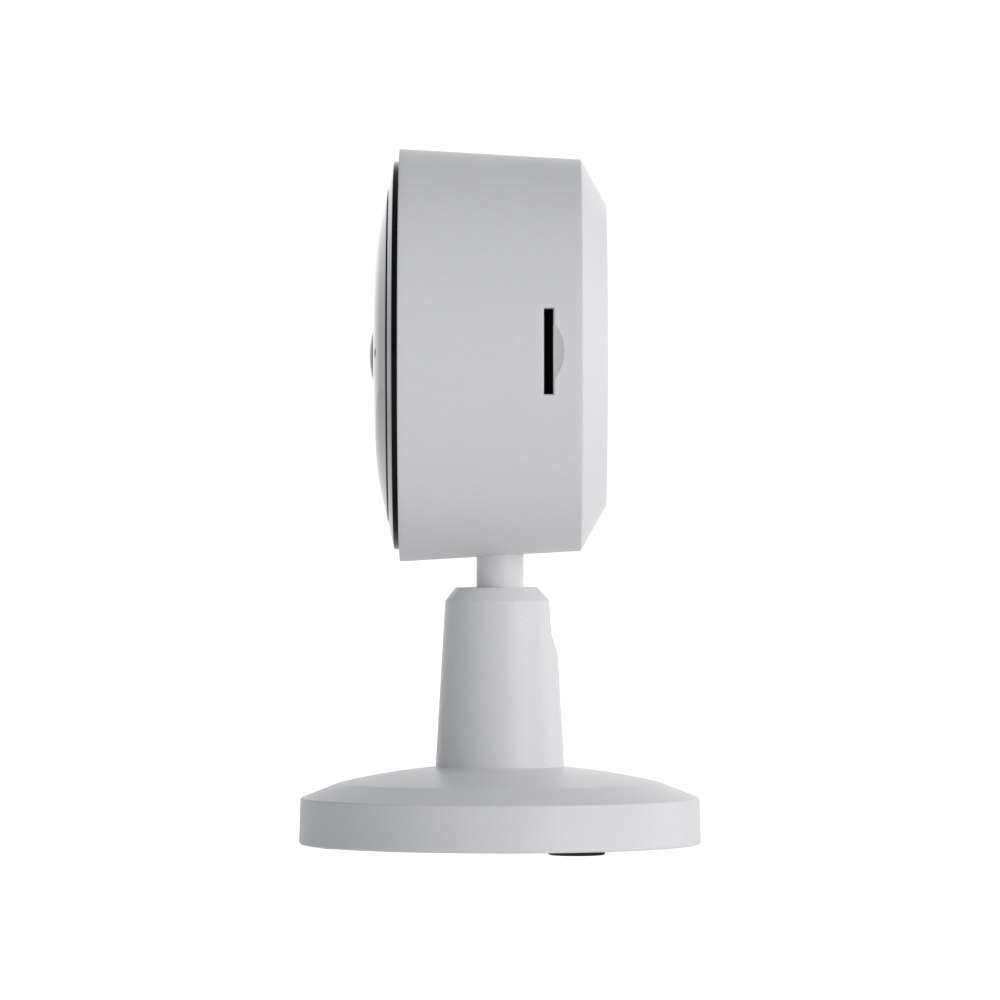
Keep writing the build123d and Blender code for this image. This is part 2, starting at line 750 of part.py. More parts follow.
with BuildPart() as front_frame:
    with BuildSketch(head_section()) as ring_profile:
        with BuildLine():
            Polyline(
                (tray_front_y, barrel_radius + fit_clearance),
                (tray_front_y, ring_inner_radius),
                (ring_inner_y, ring_inner_radius),
                (ring_front_y, frame_radius),
                (skirt_end_y, frame_radius),
                (skirt_end_y, frame_radius - skirt_thickness),
                (tray_back_y, frame_radius - skirt_thickness),
                (tray_back_y, barrel_radius + fit_clearance),
                close=True,
            )
        make_face()
        fillet(near(ring_profile, ring_front_y, frame_radius), radius=ring_edge_fillet)
        inner_corner = near(ring_profile, ring_inner_y, ring_inner_radius)
        fillet(inner_corner, radius=ring_inner_fillet)
    revolve(axis=head_axis)
    for turn in snap_turns:
        with BuildSketch(head_section(turn - snap_arc / 2)):
            with Locations((drum_front_y + snap_inset + snap_width / 2, frame_radius)):
                Rectangle(snap_width, 2 * snap_depth)
        revolve(axis=head_axis, revolution_arc=snap_arc)
    with BuildSketch(facing_front(sensor_board_front_y)):
        with Locations(*sensor_post_spots):
            Circle(sensor_post_radius)
    extrude(amount=sensor_post_length)
    with BuildSketch(facing_front(sensor_board_front_y)):
        with Locations(*sensor_post_spots):
            Circle(SENSOR_SCREW[2] + screw_clearance)
    extrude(amount=SENSOR_SCREW[3], mode=Mode.SUBTRACT)
front_frame.part.label = "front_frame"
export_step(front_frame.part, "parts/front_frame.step")

panel_hole_radius = barrel_radius + fit_clearance
skirt_inner_radius = panel_radius - panel_skirt
with BuildPart() as front_panel:
    with BuildSketch(head_section()) as dome_profile:
        with BuildLine():
            Line((panel_front_y, panel_hole_radius), (panel_front_y, panel_flat_radius))
            RadiusArc((panel_front_y, panel_flat_radius), (bend_y, panel_bend_radius), panel_arc_radius)
            Polyline(
                (bend_y, panel_bend_radius),
                (panel_surface_y(panel_radius), panel_radius),
                (tray_front_y, panel_radius),
                (tray_front_y, skirt_inner_radius),
                (panel_surface_y(skirt_inner_radius, panel_thickness), skirt_inner_radius),
                (bend_y + panel_thickness, panel_bend_radius),
            )
            RadiusArc(
                (bend_y + panel_thickness, panel_bend_radius),
                (panel_front_y + panel_thickness, panel_flat_radius),
                -panel_arc_radius,
            )
            Polyline(
                (panel_front_y + panel_thickness, panel_flat_radius),
                (panel_front_y + panel_thickness, panel_hole_radius),
                (panel_front_y, panel_hole_radius),
            )
        make_face()
        fillet(near(dome_profile, panel_surface_y(panel_radius), panel_radius), radius=panel_edge_fillet)
    revolve(axis=head_axis)
    with BuildSketch(facing_front(tray_front_y)):
        with Locations(status_spot):
            Circle(status_light_radius + running_clearance)
        with Locations(microphone_spot):
            Circle(microphone_hole_radius)
    extrude(amount=tray_front_y - panel_front_y + 1, mode=Mode.SUBTRACT)
front_panel.part.label = "front_panel"
export_step(front_panel.part, "parts/front_panel.step")

pipe_back_y = led_board_front_y - status_led_height - touch_gap
with BuildPart() as status_light_pipe:
    with BuildSketch(facing_front(pipe_back_y)):
        with Locations(status_spot):
            Circle(status_light_radius)
    extrude(amount=pipe_back_y - panel_surface_y(status_light_offset))
status_light_pipe.part.label = "status_light_pipe"
export_step(status_light_pipe.part, "parts/status_light_pipe.step")

# ================================================================ LED board
with BuildPart() as led_board:
    with BuildSketch(facing_front(tray_front_y)):
        Circle(led_board_radius)
        Circle(thread_radius, mode=Mode.SUBTRACT)
    extrude(amount=led_board_thickness)
led_board.part.label = "led_board"
export_step(led_board.part, "parts/led_board.step")

with BuildPart() as infrared_leds:
    with BuildSketch(facing_front(led_board_front_y)):
        with PolarLocations(led_ring_radius, led_count, start_angle=180 / led_count):
            Rectangle(led_width, led_length)
    extrude(amount=led_body_height)
    with BuildSketch(facing_front(led_board_front_y - led_body_height)):
        with PolarLocations(led_ring_radius, led_count, start_angle=180 / led_count):
            Circle(led_lens_radius)
    extrude(amount=led_lens_height)
infrared_leds.part.label = "infrared_leds"
export_step(infrared_leds.part, "parts/infrared_leds.step")

with BuildPart() as status_led:
    with BuildSketch(facing_front(led_board_front_y)):
        with Locations(status_spot):
            Rectangle(status_led_width, status_led_length)
    extrude(amount=status_led_height)
status_led.part.label = "status_led"
export_step(status_led.part, "parts/status_led.step")

with BuildPart() as light_sensor:
    with BuildSketch(facing_front(led_board_front_y)):
        with Locations((0, front_sensor_radius)):
            Rectangle(light_sensor_width, light_sensor_length)
    extrude(amount=light_sensor_height)
light_sensor.part.label = "light_sensor"
export_step(light_sensor.part, "parts/light_sensor.step")

with BuildPart() as microphone:
    with BuildSketch(facing_front(led_board_front_y)):
        with Locations(microphone_spot):
            Rectangle(microphone_width, microphone_length)
            Circle(microphone_hole_radius / 2, mode=Mode.SUBTRACT)
    extrude(amount=microphone_height)
microphone.part.label = "microphone"
export_step(microphone.part, "parts/microphone.step")

# The foam ring is squeezed between the microphone and the panel's sloping back.
gasket_back_y = led_board_front_y - microphone_height - touch_gap
gasket_reach = front_sensor_radius + microphone_gasket_radius
with BuildPart() as microphone_gasket:
    with BuildSketch(facing_front(gasket_back_y)):
        with Locations(microphone_spot):
            Circle(microphone_gasket_radius)
            Circle(microphone_hole_radius, mode=Mode.SUBTRACT)
    extrude(amount=gasket_back_y - panel_surface_y(gasket_reach, panel_thickness) - touch_gap)
microphone_gasket.part.label = "microphone_gasket"
export_step(microphone_gasket.part, "parts/microphone_gasket.step")

# ================================================================ lens
barrel_front_y = panel_front_y + touch_gap
barrel_step_y = tray_back_y + touch_gap
thread_end_y = barrel_step_y + thread_length
flange_y = barrel_front_y + lens_lip
holder_front_y = sensor_board_front_y - holder_base_depth - holder_tube_length + touch_gap

with BuildPart() as lens_barrel:
    with BuildSketch(head_section()):
        with BuildLine():
            Polyline(
                (barrel_front_y, lens_window_radius + touch_gap),
                (barrel_front_y, barrel_radius),
                (barrel_step_y, barrel_radius),
                (barrel_step_y, thread_radius),
                (thread_end_y, thread_radius),
                (thread_end_y, lens_bore_radius),
                (flange_y + element_pocket, lens_bore_radius),
                (flange_y + element_pocket, lens_element_radius + touch_gap),
                (flange_y, lens_element_radius + touch_gap),
                (flange_y, lens_window_radius + touch_gap),
                close=True,
            )
        make_face()
    revolve(axis=head_axis)
lens_barrel.part.label = "lens_barrel"
export_step(lens_barrel.part, "parts/lens_barrel.step")

with BuildPart() as lens_front_element:
    with BuildSketch(head_section()):
        with BuildLine():
            tip_y = panel_front_y - lens_bulge
            cap_angle = math.degrees(math.asin(lens_window_radius / lens_cap_radius))
            drop = lens_cap_radius - math.sqrt(lens_cap_radius**2 - lens_window_radius**2)
            bowl_depth = lens_bowl_radius - math.sqrt(lens_bowl_radius**2 - lens_bowl_mouth**2)
            bowl_angle = math.degrees(math.asin(lens_bowl_mouth / lens_bowl_radius))
            back_face_y = flange_y + element_depth
            CenterArc((tip_y + lens_cap_radius, 0), lens_cap_radius, 180, -cap_angle)
            Polyline(
                (tip_y + drop, lens_window_radius),
                (flange_y + touch_gap, lens_window_radius),
                (flange_y + touch_gap, lens_element_radius),
                (back_face_y, lens_element_radius),
                (back_face_y, lens_bowl_mouth),
            )
            bowl_center = (back_face_y - bowl_depth + lens_bowl_radius, 0)
            CenterArc(bowl_center, lens_bowl_radius, 180 - bowl_angle, bowl_angle)
            Line((back_face_y - bowl_depth, 0), (tip_y, 0))
        make_face()
    revolve(axis=head_axis)
lens_front_element.part.label = "lens_front_element"
export_step(lens_front_element.part, "parts/lens_front_element.step")

inner_radius = lens_bore_radius - running_clearance
with BuildPart() as lens_inner_elements:
    for depth, thickness in inner_elements:
        front = flange_y + depth
        with BuildSketch(head_section()):
            with BuildLine():
                edge = front + inner_element_sag
                middle = (front + inner_element_sag / 4, inner_radius / 2)
                ThreePointArc((front, 0), middle, (edge, inner_radius))
                Line((edge, inner_radius), (front + thickness, inner_radius))
                Line((front + thickness, inner_radius), (front + thickness, 0))
                Line((front + thickness, 0), (front, 0))
            make_face()
        revolve(axis=head_axis)
lens_inner_elements.part.label = "lens_inner_elements"
export_step(lens_inner_elements.part, "parts/lens_inner_elements.step")

with BuildPart() as aperture_stop:
    with BuildSketch(facing_front(flange_y + stop_depth)):
        Circle(inner_radius)
        Circle(stop_radius, mode=Mode.SUBTRACT)
    extrude(amount=stop_thickness)
aperture_stop.part.label = "aperture_stop"
export_step(aperture_stop.part, "parts/aperture_stop.step")

with BuildPart() as lens_lock_ring:
    with BuildSketch(facing_front(flange_y + lock_ring_depth)):
        Circle(inner_radius)
        Circle(lock_ring_radius, mode=Mode.SUBTRACT)
    extrude(amount=lock_ring_thickness)
lens_lock_ring.part.label = "lens_lock_ring"
export_step(lens_lock_ring.part, "parts/lens_lock_ring.step")

# ================================================================ lens holder and infrared-cut filter
holder_base_front_y = sensor_board_front_y - holder_base_depth
filter_room_width = carriage_width + filter_travel + 2 * moving_gap
filter_room_height = carriage_height + 2 * moving_gap
filter_room_front_y = holder_base_front_y + holder_front_wall
carriage_front_y = filter_room_front_y + moving_gap
carriage_center_x = filter_travel / 2

with BuildPart() as lens_holder:
    with BuildSketch(facing_front(sensor_board_front_y)):
        Rectangle(2 * holder_half_width, 2 * holder_half_height)
        with Locations((-holder_ear_offset, 0), (holder_ear_offset, 0)):
            Circle(holder_ear_radius)
            Rectangle(2 * holder_ear_radius, 2 * holder_ear_radius)
    extrude(amount=holder_base_depth)
    with BuildSketch(facing_front(holder_base_front_y)):
        Circle(thread_radius + running_clearance + holder_tube_wall)
    extrude(amount=holder_base_front_y - holder_front_y)
    with BuildSketch(facing_front(sensor_board_front_y)):
        Rectangle(filter_room_width, filter_room_height)
    extrude(amount=sensor_board_front_y - filter_room_front_y, mode=Mode.SUBTRACT)
    with BuildSketch(facing_front(sensor_board_front_y)):
        Circle(thread_radius - holder_bore_step)
    extrude(amount=holder_base_depth, mode=Mode.SUBTRACT)
    with BuildSketch(facing_front(thread_end_y + touch_gap)):
        Circle(thread_radius + running_clearance)
    extrude(amount=thread_length, mode=Mode.SUBTRACT)
    with BuildSketch(facing_front(sensor_board_front_y)):
        with Locations((-holder_ear_offset, 0), (holder_ear_offset, 0)):
            Circle(SENSOR_SCREW[2] + screw_clearance)
    extrude(amount=holder_base_depth - holder_screw_cover, mode=Mode.SUBTRACT)
lens_holder.part.label = "lens_holder"
export_step(lens_holder.part, "parts/lens_holder.step")

with BuildPart() as filter_carriage:
    with BuildSketch(facing_front(carriage_front_y + carriage_thickness)):
        with Locations((carriage_center_x, 0)):
            Rectangle(carriage_width, carriage_height)
        with Locations((0, 0), (filter_travel, 0)):
            clear_opening = filter_window - 2 * filter_ledge
            Rectangle(clear_opening, clear_opening, mode=Mode.SUBTRACT)
    extrude(amount=carriage_thickness)
    with BuildSketch(facing_front(carriage_front_y + carriage_thickness)):
        with Locations((0, 0), (filter_travel, 0)):
            Rectangle(filter_window + touch_gap, filter_window + touch_gap)
    extrude(amount=filter_thickness + touch_gap, mode=Mode.SUBTRACT)
filter_carriage.part.label = "filter_carriage"
export_step(filter_carriage.part, "parts/filter_carriage.step")

for filter_name, filter_x in (("infrared_blocking_glass", 0), ("clear_glass", filter_travel)):
    with BuildPart() as filter_glass:
        with BuildSketch(facing_front(carriage_front_y + carriage_thickness)):
            with Locations((filter_x, 0)):
                Rectangle(filter_window, filter_window)
        extrude(amount=filter_thickness)
    filter_glass.part.label = filter_name
    export_step(filter_glass.part, f"parts/{filter_name}.step")

coil_z = head_z + holder_half_height
with BuildPart() as filter_coil:
    with BuildSketch(Plane.XY.offset(coil_z + touch_gap)):
        with Locations((0, holder_base_front_y + holder_base_depth / 2)):
            Rectangle(coil_base_width, coil_base_depth)
    extrude(amount=coil_base_height)
    with BuildSketch(Plane.XY.offset(coil_z + touch_gap + coil_base_height)):
        with Locations((0, holder_base_front_y + holder_base_depth / 2)):
            SlotOverall(coil_width, coil_depth)
    extrude(amount=coil_height)
filter_coil.part.label = "filter_coil"
export_step(filter_coil.part, "parts/filter_coil.step")

# ================================================================ sensor board
with BuildPart() as image_sensor:
    with BuildSketch(facing_front(sensor_board_front_y - touch_gap)):
        Rectangle(sensor_size, sensor_size)
    extrude(amount=sensor_thickness)
    chamfer(image_sensor.edges().filter_by(Axis.Y), length=sensor_corner_chamfer)
image_sensor.part.label = "image_sensor"
export_step(image_sensor.part, "parts/image_sensor.step")

with BuildPart() as sensor_board:
    with BuildSketch(facing_front(sensor_board_back_y)):
        RectangleRounded(sensor_board_width, sensor_board_height, board_corner_radius)
        with Locations(*sensor_post_spots, (-holder_ear_offset, 0), (holder_ear_offset, 0)):
            Circle(SENSOR_SCREW[2] + fit_clearance, mode=Mode.SUBTRACT)
    extrude(amount=sensor_board_thickness - touch_gap)
sensor_board.part.label = "sensor_board"
export_step(sensor_board.part, "parts/sensor_board.step")

with BuildPart() as sensor_board_screws:
    for x, z in (*sensor_post_spots, (-holder_ear_offset, 0), (holder_ear_offset, 0)):
        add(pan_screw(Plane(origin=(x, sensor_board_back_y, head_z + z), z_dir=(0, 1, 0)), SENSOR_SCREW))
sensor_board_screws.part.label = "sensor_board_screws"
export_step(sensor_board_screws.part, "parts/sensor_board_screws.step")

# ================================================================ main board and what it carries
board_floor = swivel_washer_top + SWIVEL_SCREW[1] + board_floor_gap - head_z  # the board's flat lower edge
with BuildPart() as main_board:
    with BuildSketch(facing_front(main_board_back_y - touch_gap)):
        Circle(main_board_radius)
        with Locations((0, board_floor)):
            room = 3 * main_board_radius
            Rectangle(room, room, align=(Align.CENTER, Align.MAX), mode=Mode.SUBTRACT)
        with Locations(*board_post_spots):
            Circle(BOARD_SCREW[2] + fit_clearance, mode=Mode.SUBTRACT)
    extrude(amount=main_board_thickness - touch_gap)
main_board.part.label = "main_board"
export_step(main_board.part, "parts/main_board.step")

with BuildPart() as board_screws:
    for x, z in board_post_spots:
        add(pan_screw(Plane(origin=(x, main_board_front_y, head_z + z), z_dir=(0, -1, 0)), BOARD_SCREW))
board_screws.part.label = "board_screws"
export_step(board_screws.part, "parts/board_screws.step")

connector_x = SENSOR_SCREW[0] + connector_length / 2 + connector_gap - sensor_post_x
header_depth = (main_board_front_y - sensor_board_back_y) / 2
with BuildPart() as board_header:
    with BuildSketch(facing_front(sensor_board_back_y + touch_gap + header_depth)):
        with Locations((connector_x, -sensor_post_z)):
            Rectangle(connector_length, header_width)
    extrude(amount=header_depth)
board_header.part.label = "board_header"
export_step(board_header.part, "parts/board_header.step")

with BuildPart() as board_receptacle:
    with BuildSketch(facing_front(main_board_front_y)):
        with Locations((connector_x, -sensor_post_z)):
            Rectangle(connector_length, receptacle_width)
    extrude(amount=header_depth - 2 * touch_gap)
board_receptacle.part.label = "board_receptacle"
export_step(board_receptacle.part, "parts/board_receptacle.step")

with BuildPart() as processor_shield:
    with BuildSketch(facing_front(main_board_front_y)):
        with Locations((0, processor_rise)):
            RectangleRounded(shield_width, shield_length, shield_corner_radius)
    extrude(amount=shield_height)
processor_shield.part.label = "processor_shield"
export_step(processor_shield.part, "parts/processor_shield.step")

with BuildPart() as thermal_pad:
    with BuildSketch(facing_front(main_board_front_y - shield_height - touch_gap)):
        with Locations((0, processor_rise)):
            Rectangle(pad_width, pad_length)
    extrude(amount=pad_thickness)
thermal_pad.part.label = "thermal_pad"
export_step(thermal_pad.part, "parts/thermal_pad.step")

with BuildPart() as heat_spreader:
    with BuildSketch(facing_front(main_board_front_y - shield_height - pad_thickness - 2 * touch_gap)):
        with Locations((0, processor_rise)):
            RectangleRounded(spreader_width, spreader_length, board_corner_radius)
    extrude(amount=spreader_thickness)
heat_spreader.part.label = "heat_spreader"
export_step(heat_spreader.part, "parts/heat_spreader.step")

card_room_width = slot_height + 2 * touch_gap
card_room_thickness = slot_width + 2 * touch_gap
socket_mouth_x = math.sqrt((slot_outer_x - shell_wall) ** 2 - (socket_width / 2) ** 2) - fit_clearance
with BuildPart() as memory_card_socket:
    with BuildSketch(facing_front(main_board_back_y + socket_thickness)):
        with Locations((socket_mouth_x, 0)):
            Rectangle(socket_length, socket_width, align=(Align.MAX, Align.CENTER))
    extrude(amount=socket_thickness)
    with BuildSketch(facing_front(slot_y + card_room_thickness / 2)):
        with Locations((socket_mouth_x, 0)):
            Rectangle(socket_length - socket_back_wall, card_room_width, align=(Align.MAX, Align.CENTER))
    extrude(amount=card_room_thickness, mode=Mode.SUBTRACT)
memory_card_socket.part.label = "memory_card_socket"
export_step(memory_card_socket.part, "parts/memory_card_socket.step")

usb_mouth_y = back_y - usb_recess_depth
usb_floor_y = usb_mouth_y - usb_depth
with BuildPart() as usb_socket:
    with BuildSketch(square_to_back(main_board_back_y, 0, usb_z)):
        RectangleRounded(usb_width, usb_height, usb_height / 5)
    extrude(amount=main_board_back_y - usb_mouth_y)
    with BuildSketch(square_to_back(usb_mouth_y, 0, usb_z)):
        RectangleRounded(usb_width - 2 * usb_wall, usb_height - 2 * usb_wall, usb_height / 8)
    extrude(amount=usb_depth, mode=Mode.SUBTRACT)
usb_socket.part.label = "usb_socket"
export_step(usb_socket.part, "parts/usb_socket.step")

with BuildPart() as usb_tongue:
    with BuildSketch(square_to_back(usb_floor_y + touch_gap, 0, usb_z)):
        with Locations((0, tongue_rise)):
            Rectangle(tongue_width, tongue_thickness)
    extrude(amount=-tongue_length)
usb_tongue.part.label = "usb_tongue"
export_step(usb_tongue.part, "parts/usb_tongue.step")

# ================================================================ reset switch and button
stem_end_y = main_board_back_y + switch_height + switch_stem
with BuildPart() as reset_switch:
    with BuildSketch(square_to_back(main_board_back_y, button_x, button_z)):
        RectangleRounded(switch_side, switch_side, switch_side / 10)
    extrude(amount=-switch_height)
    with BuildSketch(square_to_back(main_board_back_y + switch_height, button_x, button_z)):
        Circle(switch_stem_radius)
    extrude(amount=-switch_stem)
reset_switch.part.label = "reset_switch"
export_step(reset_switch.part, "parts/reset_switch.step")

with BuildPart() as reset_button:
    with BuildSketch(square_to_back(stem_end_y + button_travel + touch_gap, button_x, button_z)):
        Circle(button_radius)
    extrude(amount=stem_end_y + button_travel + touch_gap - back_y)
    with BuildSketch(square_to_back(inner_back_y - flange_gap, button_x, button_z)):
        Circle(button_radius + button_flange)
    extrude(amount=flange_thickness)
    fillet(reset_button.edges().group_by(Axis.Y)[-1], radius=button_edge_fillet)
reset_button.part.label = "reset_button"
export_step(reset_button.part, "parts/reset_button.step")

# ================================================================ speaker and antenna
with BuildPart() as speaker_frame:
    with BuildSketch(facing_front(speaker_front_y + speaker_depth)):
        with Locations((0, speaker_rise)):
            Circle(speaker_radius)
            Circle(speaker_radius - basket_wall, mode=Mode.SUBTRACT)
    extrude(amount=speaker_depth - magnet_thickness - touch_gap - basket_floor)
    with BuildSketch(facing_front(speaker_front_y + magnet_thickness + touch_gap + basket_floor)):
        with Locations((0, speaker_rise)):
            Circle(speaker_radius)
    extrude(amount=basket_floor)
speaker_frame.part.label = "speaker_frame"
export_step(speaker_frame.part, "parts/speaker_frame.step")

with BuildPart() as speaker_magnet:
    with BuildSketch(facing_front(speaker_front_y + magnet_thickness)):
        with Locations((0, speaker_rise)):
            Circle(magnet_radius)
    extrude(amount=magnet_thickness)
speaker_magnet.part.label = "speaker_magnet"
export_step(speaker_magnet.part, "parts/speaker_magnet.step")

with BuildPart() as speaker_diaphragm:
    cone_front_y = speaker_front_y + speaker_depth - cone_inset - cone_edge_thickness
    with BuildSketch(facing_front(speaker_front_y + speaker_depth - cone_inset)):
        with Locations((0, speaker_rise)):
            Circle(speaker_radius - basket_wall - touch_gap)
    extrude(amount=cone_edge_thickness)
    with BuildSketch(facing_front(cone_front_y)):
        with Locations((0, speaker_rise)):
            Circle(cone_dome_radius)
    extrude(amount=cone_dome_thickness)
speaker_diaphragm.part.label = "speaker_diaphragm"
export_step(speaker_diaphragm.part, "parts/speaker_diaphragm.step")

with BuildPart() as speaker_gasket:
    with BuildSketch(facing_front(inner_back_y)):
        with Locations((0, speaker_rise)):
            Circle(speaker_radius)
            Circle(speaker_radius - gasket_width, mode=Mode.SUBTRACT)
    extrude(amount=speaker_gasket_thickness - touch_gap)
speaker_gasket.part.label = "speaker_gasket"
export_step(speaker_gasket.part, "parts/speaker_gasket.step")

with BuildPart() as wifi_antenna:
    with BuildSketch(head_section(-antenna_arc / 2)):
        with BuildLine():
            antenna_back_y = antenna_front_y + antenna_width
            front_radius = drum_radius(antenna_front_y) - shell_wall - fit_clearance
            rear_radius = drum_radius(antenna_back_y) - shell_wall - fit_clearance
            Polyline(
                (antenna_front_y, front_radius),
                (antenna_back_y, rear_radius),
                (antenna_back_y, rear_radius - antenna_thickness),
                (antenna_front_y, front_radius - antenna_thickness),
                close=True,
            )
        make_face()
    revolve(axis=head_axis, revolution_arc=antenna_arc)
wifi_antenna.part.label = "wifi_antenna"
export_step(wifi_antenna.part, "parts/wifi_antenna.step")

print("head axis height", round(head_z, 2), "overall height", round(head_z + drum_radius_front, 2))
print("panel front", round(panel_front_y, 2), "card slot depth", round(slot_y, 2), "back", round(back_y, 2))
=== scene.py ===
# %% [markdown]
# A small white security camera on a round stand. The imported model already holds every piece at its
# true size and place, so this script gives the pieces that show a finer surface, dresses all of them
# in procedural materials, and sets up a pale studio to look at them in.

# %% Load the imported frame
import json
import math

import bmesh
import bpy
from mathutils import Matrix, Vector


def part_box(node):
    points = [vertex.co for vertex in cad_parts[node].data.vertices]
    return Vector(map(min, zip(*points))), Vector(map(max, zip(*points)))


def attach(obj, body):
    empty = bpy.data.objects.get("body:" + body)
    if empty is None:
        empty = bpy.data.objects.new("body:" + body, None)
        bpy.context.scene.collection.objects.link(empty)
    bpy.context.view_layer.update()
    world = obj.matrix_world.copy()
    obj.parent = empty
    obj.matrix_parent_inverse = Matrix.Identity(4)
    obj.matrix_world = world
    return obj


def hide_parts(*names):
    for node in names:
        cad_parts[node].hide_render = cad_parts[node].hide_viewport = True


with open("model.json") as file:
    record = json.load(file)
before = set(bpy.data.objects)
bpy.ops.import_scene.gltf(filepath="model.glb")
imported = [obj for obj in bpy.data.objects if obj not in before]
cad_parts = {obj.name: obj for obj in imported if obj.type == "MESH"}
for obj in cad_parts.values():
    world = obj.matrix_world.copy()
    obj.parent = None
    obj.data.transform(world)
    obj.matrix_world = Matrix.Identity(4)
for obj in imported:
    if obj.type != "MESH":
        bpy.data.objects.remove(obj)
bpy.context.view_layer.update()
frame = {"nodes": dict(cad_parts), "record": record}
nodes = frame["nodes"]

# %% [markdown]
# The camera stands beside the object and looks along -X at the middle of its height. It is a long
# lens from a metre away, so the round head and the round base keep almost parallel sides.

# %% Camera
MM = 0.001
scene = bpy.context.scene
eye_height = 49.75 * MM


def placed(name, data):
    """A new object in the scene."""
    made = bpy.data.objects.new(name, data)
    scene.collection.objects.link(made)
    return made


camera_data = bpy.data.cameras.new("studio_camera")
camera_data.lens = 252.0
camera_data.sensor_width = 36.0
camera_data.clip_end = 60.0
camera = placed("studio_camera", camera_data)
camera.location = (1.0, 0.0, eye_height)
camera.rotation_euler = (math.radians(90), 0.0, math.radians(90))
scene.camera = camera
print("camera looks from", tuple(round(v, 3) for v in camera.location))

# %% [markdown]
# Materials, sky and floor are small trees of shader nodes. Writing the sums as Python expressions
# keeps them readable: a Field wraps a socket, and adding or multiplying Fields adds the Math nodes.

# %% Shader helpers
class Field:
    """A value in a node tree, which can be added, multiplied and so on."""

    def __init__(self, home, socket):
        self.home = home
        self.socket = socket

    def math(self, operation, first, second):
        return self.home.node("ShaderNodeMath", {"operation": operation}, {0: first, 1: second})

    def __add__(self, other):
        return self.math("ADD", self, other)

    def __rsub__(self, other):
        return self.math("SUBTRACT", other, self)

    def __mul__(self, other):
        return self.math("MULTIPLY", self, other)


class Tree:
    """A node tree that grows from expressions."""

    def __init__(self, tree):
        self.tree = tree

    def node(self, kind, settings, inputs, output=0):
        """Adds a node: its settings first, then the values or links of its sockets."""
        made = self.tree.nodes.new(kind)
        for key, value in settings.items():
            if key == "stops":
                for stop, (position, shade) in zip(made.color_ramp.elements, value):
                    stop.position = position
                    stop.color = (shade, shade, shade, 1.0) if isinstance(shade, float) else shade
            else:
                setattr(made, key, value)
        for key, value in inputs.items():
            if isinstance(value, Field):
                self.tree.links.new(value.socket, made.inputs[key])
            else:
                made.inputs[key].default_value = value
        return Field(self, made.outputs[output]) if made.outputs else None

    def ramp(self, value, low, high, first=0.0, last=1.0):
        """A grey or a colour that runs from the first to the last between two values."""
        stops = [(low, first), (high, last)]
        return self.node("ShaderNodeValToRGB", {"stops": stops}, {"Fac": value}, "Color")

    def seen_or_lighting(self, seen, lighting, output):
        """Shows one shader to the camera and lets the other one light the object."""
        camera_ray = self.node("ShaderNodeLightPath", {}, {}, "Is Camera Ray")
        mixed = self.node("ShaderNodeMixShader", {}, {0: camera_ray, 1: lighting, 2: seen})
        self.node(output, {}, {0: mixed})


class Paint(Tree):
    """A material with one Principled shader, and the nodes that feed it."""

    def __init__(self, name, **constants):
        self.material = bpy.data.materials.new(name)
        self.material.use_nodes = True
        super().__init__(self.material.node_tree)
        self.shader = self.tree.nodes["Principled BSDF"]
        for socket, value in constants.items():
            self.shader.inputs[socket.replace("_", " ")].default_value = value
        self.place = self.node("ShaderNodeTexCoord", {}, {}, "Object")

    def noise(self, size, detail=3.0, rough=0.5, place=None):
        """Cloudy noise whose blobs are about this many millimetres across."""
        inputs = {"Vector": place or self.place, "Scale": 1.0 / (size * MM), "Detail": detail, "Roughness": rough}
        return self.node("ShaderNodeTexNoise", {}, inputs, "Fac")

    def feed(self, socket, value):
        self.tree.links.new(value.socket, self.shader.inputs[socket])

    def blend(self, share, first, second):
        """Makes the base colour a mixture of two others."""
        inputs = {0: share, 6: tone(*first), 7: tone(*second)}
        self.feed("Base Color", self.node("ShaderNodeMix", {"data_type": "RGBA"}, inputs, 2))

    def bump(self, height, depth, strength=1.0):
        """Small relief: height runs from 0 to 1 and stands for this many millimetres."""
        inputs = {"Strength": strength, "Distance": depth * MM, "Height": height}
        self.feed("Normal", self.node("ShaderNodeBump", {}, inputs, "Normal"))


def tone(red, green, blue):
    return (red, green, blue, 1.0)


def dress(piece, paint):
    """Gives every slot of a piece this material."""
    if not piece.data.materials:
        piece.data.materials.append(paint.material)
    for index in range(len(piece.data.materials)):
        piece.data.materials[index] = paint.material


# %% [markdown]
# Soft studio light: one wide softbox beside the lens, a weaker one behind the object, and a sky that
# is dimmer in front of the camera's face and bright straight behind it, like a lit backdrop. A white
# object needs its shadow side to fall off slowly, or the round neck would look flat.

# %% Lights and sky
scene.view_settings.view_transform = "Standard"
scene.view_settings.look = "None"
studio_target = Vector((0.0, 0.0, 0.05))
softbox_distance = 1.5


def softbox(name, direction, width, watts):
    """A square area light that faces the object from this direction."""
    data = bpy.data.lights.new(name, "AREA")
    data.shape = "SQUARE"
    data.size = width
    data.energy = watts
    lamp = placed(name, data)
    toward = Vector(direction).normalized()
    lamp.location = studio_target + toward * softbox_distance
    lamp.rotation_euler = toward.to_track_quat("Z", "Y").to_euler()


softbox("key_softbox", (0.72, 0.70, 0.10), width=1.2, watts=12.8)
softbox("rear_softbox", (-0.35, 0.94, 0.15), width=1.0, watts=3.6)
sky_in_front = tone(0.206, 0.216, 0.240)
sky_behind = tone(0.50, 0.50, 0.50)
backdrop_glow = 1.0
backdrop_starts, backdrop_full = -0.70, -0.995  # how far a direction points away from the lens
backdrop_seen = 1.05

